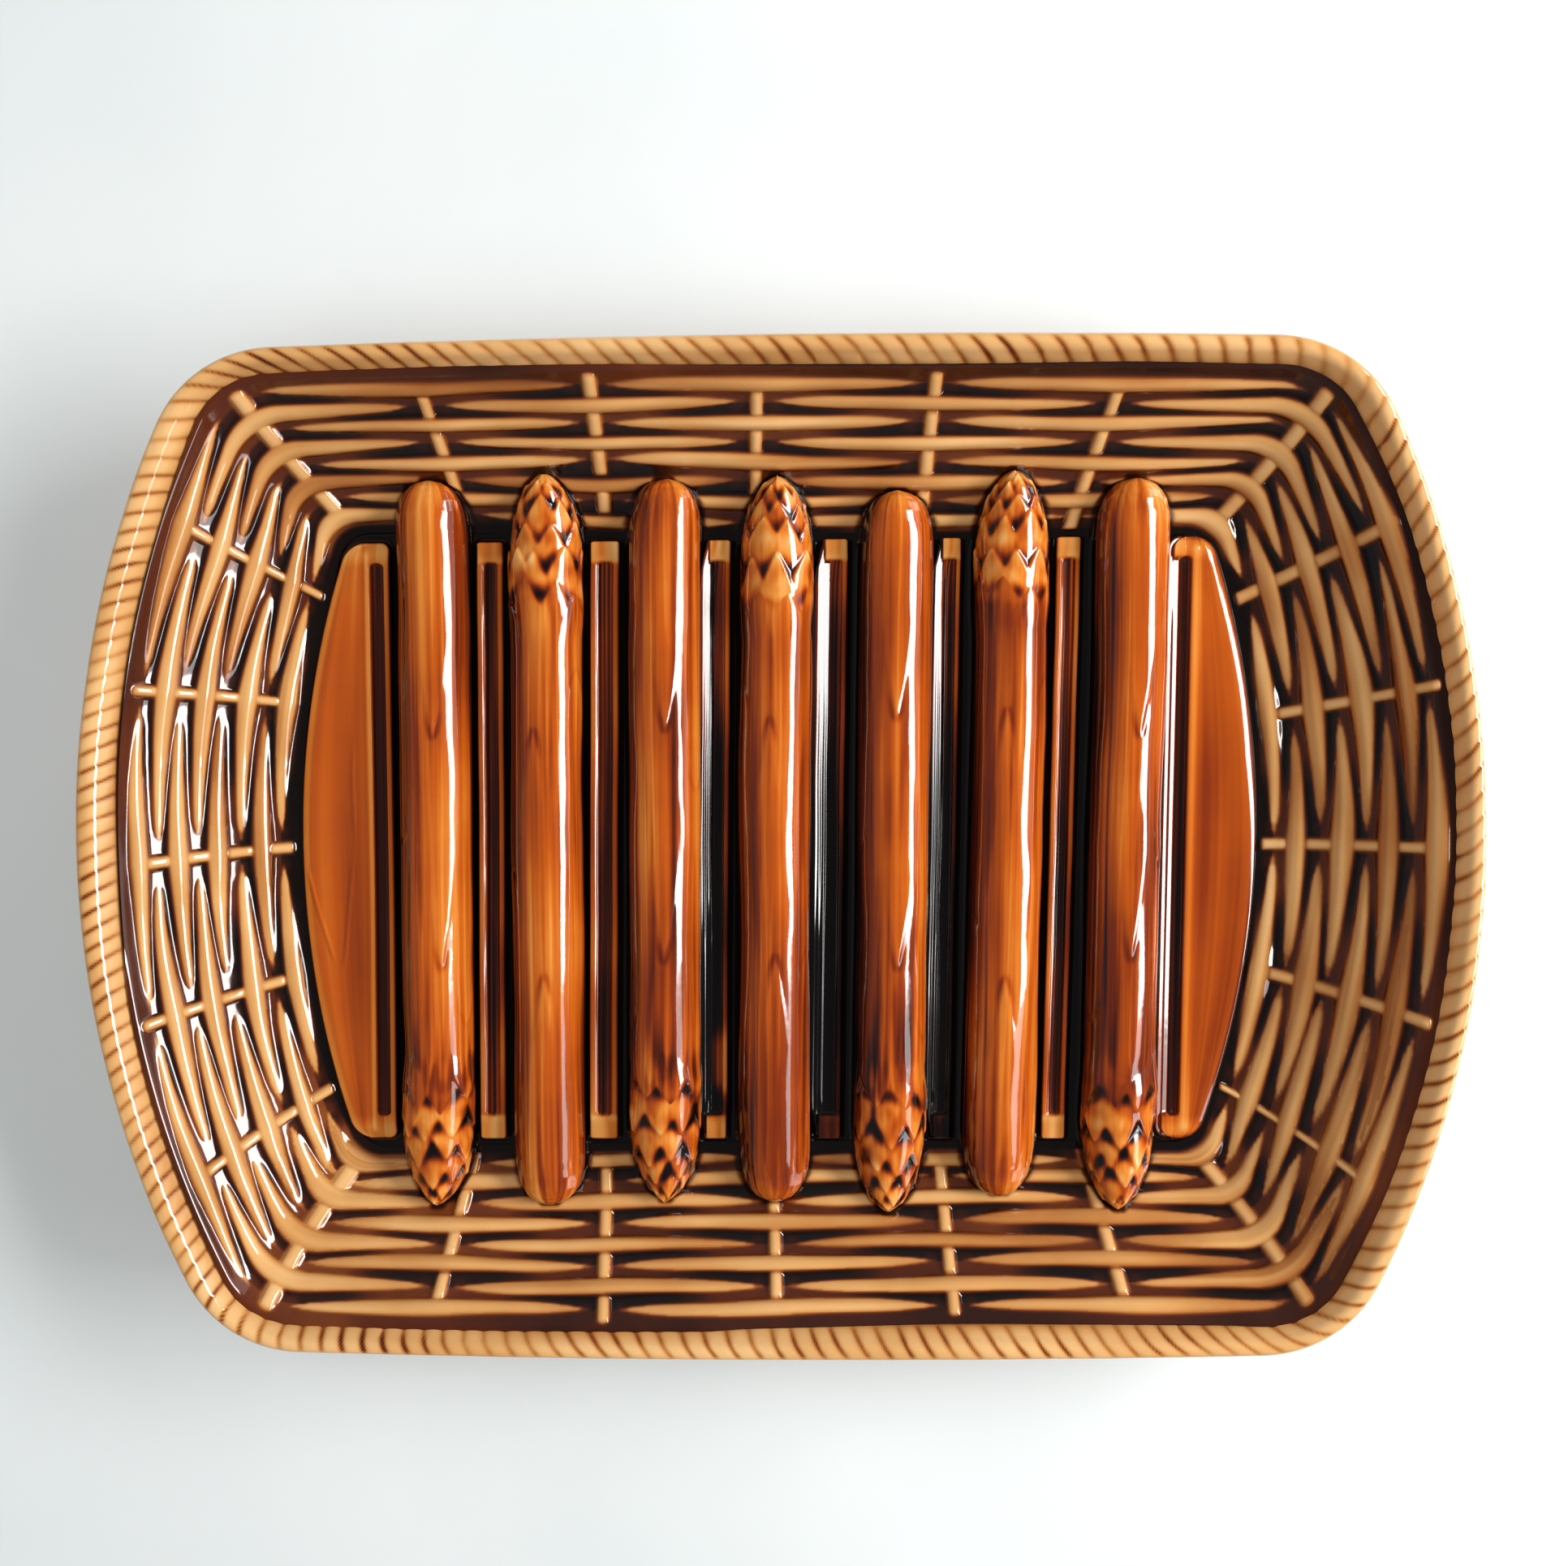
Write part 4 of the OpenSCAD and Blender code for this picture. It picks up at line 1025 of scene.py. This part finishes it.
def spear(n):
    r = np.random.default_rng(100 + n)
    tip_up = n % 2 == 0
    xt, xb, et, eb = SPEAR_FIT[n - 1]
    y_top, y_bot = 103 + et, -103 - eb
    ln_, ymid = y_top - y_bot, (y_top + y_bot) / 2
    dd = np.unique(np.concatenate([np.linspace(0, 14, 46), np.linspace(14, ln_ - 46, 210), np.linspace(ln_ - 46, ln_, 190)]))
    ns = len(dd)
    yl = dd - ln_ / 2
    yw = (yl if tip_up else -yl) + ymid
    dn = np.where(dd < 40, dd, np.where(dd > ln_ - 50, dd + SPEAR_L - ln_, 40 + (dd - 40) * (SPEAR_L - 90) / (ln_ - 90)))
    a = SPEAR_R * stalk(dn)
    b = bed(yw) - 0.1
    topf = np.interp(dn, [0, 0.6, 1.6, 3.2, 5.5, 9, 14, 22, SPEAR_L - 24, SPEAR_L - 12, SPEAR_L - 5, SPEAR_L - 1.5, SPEAR_L],
                     [0.62, 0.70, 0.79, 0.865, 0.93, 0.975, 0.995, 1.0, 0.995, 0.965, 0.90, 0.80, 0.70])
    zt = WELL + SPEAR_H * topf
    hgt = zt - b
    wig = 0.16 * noise1(r, ns, 26, False)
    X = wig[:, None] + a[:, None] * sx[None]
    Z = b[:, None] + hgt[:, None] * sz[None]
    Y = np.repeat(yl[:, None], NA, 1)
    S = np.dstack([X, Y, Z])
    Nn = grid_normals(S, wrap_n=False)
    if Nn[ns // 2, NA // 2, 2] < 0:
        Nn = -Nn
    E = (ln_ - dd)[:, None] + np.zeros(NA)[None]
    PH = np.repeat(phi[None], ns, 0)
    rad = np.maximum(a, 3.0)[:, None]
    tipz = smooth(37, 27, E)
    # bracts
    Hs = np.zeros_like(E)
    near = np.zeros_like(E)
    pools = np.zeros_like(E)
    grain = noise2(r, E.shape, 5, 1.2)
    PW = PH if tip_up else -PH          # angle towards the right in the picture
    tilt = r.normal(0, 3)
    cover = np.zeros_like(E)
    for e0, angles, length, spread, amp, hollow in TIERS:
        tier_cover, tier_pool = np.zeros_like(E), np.zeros_like(E)
        for p0 in angles:
            h, m, nt_, cv = bract(E, PH, rad, e0 + r.normal(0, 0.9 if hollow else 2.2), p0 + tilt + r.normal(0, 4.5), length * (1 + r.normal(0, 0.07)),
                              spread * (1 + r.normal(0, 0.14)), 0.82 * amp * (1 + r.normal(0, 0.14)), hollow)
            if not hollow:
                near = np.maximum(near, m)
            tier_pool = np.maximum(tier_pool, nt_ * (1 + 0.22 * r.normal()) * (1.0 if hollow else 0.85))
            tier_cover = np.maximum(tier_cover, cv)
            Hs = np.maximum(Hs, h)
        # scales nearer the stalk lie over the ones that follow
        pools = np.maximum(pools, tier_pool * (1 - tier_cover) * (1 - cover))
        cover = np.maximum(cover, tier_cover)
    pools = 1.40 * gauss(gauss(pools, 3.4, 0), 1.5, 1) * smooth(0.8, 5.0, E)
    side_b = 1 if r.random() < 0.5 else -1
    singles = ((70 + r.normal(0, 2.5), r.normal(-6, 7), 34, 25.0, 0.32), (141 + r.normal(0, 3), r.normal(-4, 7), 30, 22.0, 0.34),
               (112 + r.normal(0, 9), 66 * side_b, 13, 10.0, 0.12), (52 + r.normal(0, 3), -64 * side_b, 12, 9.0, 0.12))
    notch = np.zeros_like(E)
    for e0, p0, length, spread, amp in singles:
        h, m, nt_, cv = bract(E, PH, rad, e0, p0, length, spread, amp, 0.0, 26.0)
        Hs = np.maximum(Hs, h)
        # dark notches outside the two sides of the point
        v = E - e0
        half = 22.5 * (np.maximum(v, 0) / spread) ** 0.80
        out = (np.abs(PH - p0) - half) * math.pi / 180 * rad
        notch = np.maximum(notch, amp / 0.32 * np.exp(-((out - 0.55) / 0.75) ** 2) * smooth(-1.5, 0.8, v) * smooth(9.0, 1.0, v))
    # ridges along the stalk
    ridge = np.zeros_like(E)
    for p0 in (-76, -66, -57, -49, -40, -31, -20, -6, 14, 27, 41, 55, 70):
        wan = p0 + 2.2 * noise1(r, ns, 40, False) + r.normal(0, 3)
        on = np.clip(0.45 + 0.75 * noise1(r, ns, 20, False), 0, 1)
        ridge += on[:, None] * np.exp(-((PH - wan[:, None]) / 1.5) ** 2)
    ridge *= (1 - tipz) * smooth(0, 6, dd)[:, None]
    uneven = 0.17 * noise2(r, E.shape, 15, 8) + 0.035 * noise2(r, E.shape, 6, 4)
    ends = smooth(0.0, 5.0, dd)[:, None]
    Hh = (Hs - 0.40 * tipz + 0.07 * ridge + uneven * (1 - 0.6 * tipz) - 0.16 * notch) * (0.25 + 0.75 * ends)
    Hh = gauss(gauss(Hh, 0.9, 0), 0.7, 1)
    fade = smooth(96, 84, np.abs(PH))
    S2 = S + Nn * (Hh * fade)[..., None]
    # glaze thickness, with painted shade on the left flank
    lo = gauss(gauss(Hs, 5.0, 0), 2.6, 1)
    Hs = gauss(gauss(Hs, 1.3, 0), 0.8, 1)
    strong = 0.52 if tip_up else 0.68
    low_tip = (0.285 if tip_up else 0.335) + strong * np.clip(pools, 0, 1.1) - 0.20 * np.clip((Hs - lo) / 0.35, -1, 1)
    low_tip = low_tip + 0.075 * noise2(r, E.shape, 7, 4) + 0.035 * grain + (0 if tip_up else 0.12) * smooth(0.25, 0.0, Hs)
    # Painted shade: the tip's left flank, turned away from the light, is made darker; its very end is made lighter.
    low_tip = low_tip - 0.20 * smooth(6.5, 1.0, E) + 0.16 * smooth(-35, -80, PW)
    tiptop = smooth(38, 33, E) * (1 - 0.85 * near * (Hs > 0.05))
    lines = np.zeros_like(E)
    for p0 in r.uniform(-84, 84, 26):
        wan = p0 + 1.8 * noise1(r, ns, 50, False)
        on = np.clip(0.2 + 0.8 * noise1(r, ns, 26, False), 0, 1)
        lines += on[:, None] * np.exp(-((PH - wan[:, None]) / 1.2) ** 2)
    # Painted shade: the left flank, turned away from the light, is made darker, and the streak lines are drawn darker
    # on it; the right edge darkens a little.
    body = 0.412 + 0.07 * noise2(r, E.shape, 26, 9) - 0.10 * ridge + 0.032 * noise2(r, E.shape, 60, 1.1)
    body = body - 0.25 * (Hs - lo) + 0.13 * notch + 0.080 * lines * (0.4 + 1.3 * smooth(0, -45, PW))
    body += 0.28 * smooth(-14, -70, PW) + 0.04 * smooth(52, 84, PW)
    patch = noise2(r, E.shape, 24, 1.6)
    body += 0.10 * np.clip(patch - 0.45, 0, 1.2)
    if not tip_up:
        cloud = 0.7 * noise2(r, E.shape, 13, 2.4) + 0.6 * noise2(r, E.shape, 20, 1.0)
        body += (0.13, 0, 0.15, 0, 0.24, 0, 0.11)[n - 1] * smooth(76, 40, E) * (0.25 + np.clip(cloud, -0.25, 1.4))
    T = body * (1 - tiptop) + low_tip * tiptop
    T = T - 0.10 * smooth(9, 1, dd)[:, None] + 0.5 * smooth(82, 97, np.abs(PH))
    # fillets down to the floor on both sides
    left, right = [], []
    ease = np.minimum(1, np.minimum(dd, ln_ - dd) / 6 + 0.15) * (1 - 0.5 * smooth(84, 89, np.abs(yw)))
    for off, hz in fillet((n - 4) * PITCH + 10):
        zl = b + np.where(hz >= 0, hz * np.clip(hgt / SPEAR_H, 0, 1), hz)
        left.append(np.column_stack([S2[:, 0, 0] - off * ease, yl, zl]))
        right.append(np.column_stack([S2[:, -1, 0] + off * ease, yl, zl]))
    low = b - 0.9
    S3 = np.concatenate([np.array(left[::-1]).transpose(1, 0, 2), S2, np.array(right).transpose(1, 0, 2)], 1)
    kf = len(left)
    T3 = np.concatenate([np.ones((ns, kf)), T, np.ones((ns, kf))], 1)
    mcol = S3.shape[1]
    # underside closes the section
    under = np.stack([np.column_stack([S3[:, -1, 0] * (1 - t) + S3[:, 0, 0] * t, yl, np.minimum(S3[:, -1, 2], low)])
                      for t in (0.15, 0.5, 0.85)], 1)
    ring = np.concatenate([S3, under], 1)
    TT = np.concatenate([T3, np.ones((ns, 3))], 1)
    nr = ring.shape[1]
    # round the two ends off to a point well inside
    e0 = ring[0].mean(0) + np.array([0, -0.35, -0.4])
    e1 = ring[-1].mean(0) + np.array([0, 0.15, -0.3])
    V = np.concatenate([ring.reshape(-1, 3), [e0, e1]])
    q = outward(ring.reshape(-1, 3), grid_quads(ns, nr))
    flipped = not np.array_equal(q[0], grid_quads(ns, nr)[0])
    i0, i1 = ns * nr, ns * nr + 1
    a_ = np.arange(nr)
    t0 = np.stack([a_, (a_ + 1) % nr, np.full(nr, i0)], 1)
    t1 = np.stack([(ns - 1) * nr + (a_ + 1) % nr, (ns - 1) * nr + a_, np.full(nr, i1)], 1)
    if not flipped:
        t0, t1 = t0[:, ::-1], t1[:, ::-1]
    TT = np.concatenate([TT.ravel(), [0.6, 0.2]])
    if not tip_up:
        V = V * np.array([-1.0, -1.0, 1.0])
    V = V + np.array([(n - 4) * PITCH, ymid, 0])
    V[:, 0] += xb + (xt - xb) * (V[:, 1] + 95) / 190
    ob = piece("spear_%d_glazed" % n, V, q, MAT_SPEAR, {"glaze_and_shade": np.clip(TT, 0, 1)}, tris=np.concatenate([t0, t1]))
    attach(ob, "root"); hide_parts("spear_%d" % n)
    return ob


for n in range(1, 8):
    spear(n)

# ------------------------------------------------------------------ camera
C = np.array([0.014593, 0.052742, 0.436064 + RIM * MM])
right_v = np.array([0.99963194, -0.00739424, -0.026102])
down_v = np.array([-0.00543737, -0.99722407, 0.07426027])
fwd_v = np.array([-0.02657864, -0.07409101, -0.99689724])
from mathutils import Matrix
M = Matrix(((right_v[0], -down_v[0], -fwd_v[0], C[0]), (right_v[1], -down_v[1], -fwd_v[1], C[1]),
            (right_v[2], -down_v[2], -fwd_v[2], C[2]), (0, 0, 0, 1)))
cam_data = bpy.data.cameras.new("camera")
cam_data.sensor_width = 36.0
cam_data.sensor_fit = "HORIZONTAL"
cam_data.lens = 36.0 * 2000.0 / 1932.0
cam_data.clip_start = 0.01
cam_data.dof.use_dof = False
cam = bpy.data.objects.new("camera", cam_data)
scene = bpy.context.scene
scene.collection.objects.link(cam)
cam.matrix_world = M
scene.camera = cam

# ------------------------------------------------------------------ floor
n = 41
g = np.linspace(-2200, 2200, n)
gx, gy = np.meshgrid(g, g)
fl_mat = bpy.data.materials.new("pale_floor")
fl_mat.use_nodes = True
nt = fl_mat.node_tree
bs = nt.nodes["Principled BSDF"]
tc = nt.nodes.new("ShaderNodeTexCoord")
nz = nt.nodes.new("ShaderNodeTexNoise")
nz.inputs["Scale"].default_value = 5.0
nz.inputs["Detail"].default_value = 5.0
nt.links.new(tc.outputs["Object"], nz.inputs["Vector"])
cr = nt.nodes.new("ShaderNodeValToRGB")
cr.color_ramp.elements[0].position, cr.color_ramp.elements[0].color = 0.3, lin(206, 213, 214)
cr.color_ramp.elements[1].position, cr.color_ramp.elements[1].color = 0.7, lin(218, 224, 225)
nt.links.new(nz.outputs["Fac"], cr.inputs["Fac"])
nt.links.new(cr.outputs["Color"], bs.inputs["Base Color"])
bs.inputs["Roughness"].default_value = 0.75
floor = piece("floor", np.dstack([gx, gy, np.full_like(gx, -0.02)]), grid_quads(n, n, wrap_n=False), fl_mat)


# ------------------------------------------------------------------ light
def area(name, loc, target, sx_, sy_, power, color=(1, 1, 1)):
    from mathutils import Vector
    ld = bpy.data.lights.new(name, "AREA")
    ld.shape = "RECTANGLE"
    ld.size, ld.size_y = sx_, sy_
    ld.energy = power
    ld.color = color
    ob = bpy.data.objects.new(name, ld)
    scene.collection.objects.link(ob)
    ob.location = loc
    d = Vector(target) - Vector(loc)
    ob.rotation_euler = d.to_track_quat("-Z", "Y").to_euler()
    return ob


def aimed(name, tilt, azimuth, dist, wide, tall, power, color, glossy=True):
    """A soft light that looks at the plate from tilt degrees off the vertical."""
    t, a = math.radians(tilt), math.radians(azimuth)
    loc = (dist * math.sin(t) * math.cos(a), dist * math.sin(t) * math.sin(a), dist * math.cos(t))
    ob = area(name, loc, (0, 0, 0.02), wide, tall, power, color)
    ob.visible_glossy = glossy
    return ob


aimed("window_light", 56, 10, 1.3, 1.05, 0.43, 25.0, (1.0, 0.985, 0.965))
aimed("window_sash", 56, -22, 1.3, 0.42, 0.34, 2.2, (1.0, 0.99, 0.975))
aimed("side_wall", 78, 18, 1.8, 1.7, 0.52, 2.8, (1.0, 0.97, 0.97))
aimed("room_fill", 12, 150, 1.7, 1.6, 1.6, 20.0, (1.0, 0.985, 0.96), glossy=False)
world = bpy.data.worlds.new("studio")
world.use_nodes = True
wn = world.node_tree
wtc = wn.nodes.new("ShaderNodeTexCoord")
wsp = wn.nodes.new("ShaderNodeSeparateXYZ")
wn.links.new(wtc.outputs["Generated"], wsp.inputs["Vector"])
wcr = wn.nodes.new("ShaderNodeValToRGB")
el = wcr.color_ramp.elements
el[0].position, el[0].color = 0.0, (0.17, 0.172, 0.178, 1)
el[1].position, el[1].color = 1.0, (0.06, 0.06, 0.063, 1)
e = el.new(0.55)
e.color = (0.15, 0.152, 0.158, 1)
e = el.new(0.90)
e.color = (0.09, 0.09, 0.094, 1)
wn.links.new(wsp.outputs["Z"], wcr.inputs["Fac"])
wn.links.new(wcr.outputs["Color"], wn.nodes["Background"].inputs["Color"])
wn.nodes["Background"].inputs["Strength"].default_value = 1.0
scene.world = world
scene.view_settings.view_transform = "Standard"
scene.view_settings.look = "None"
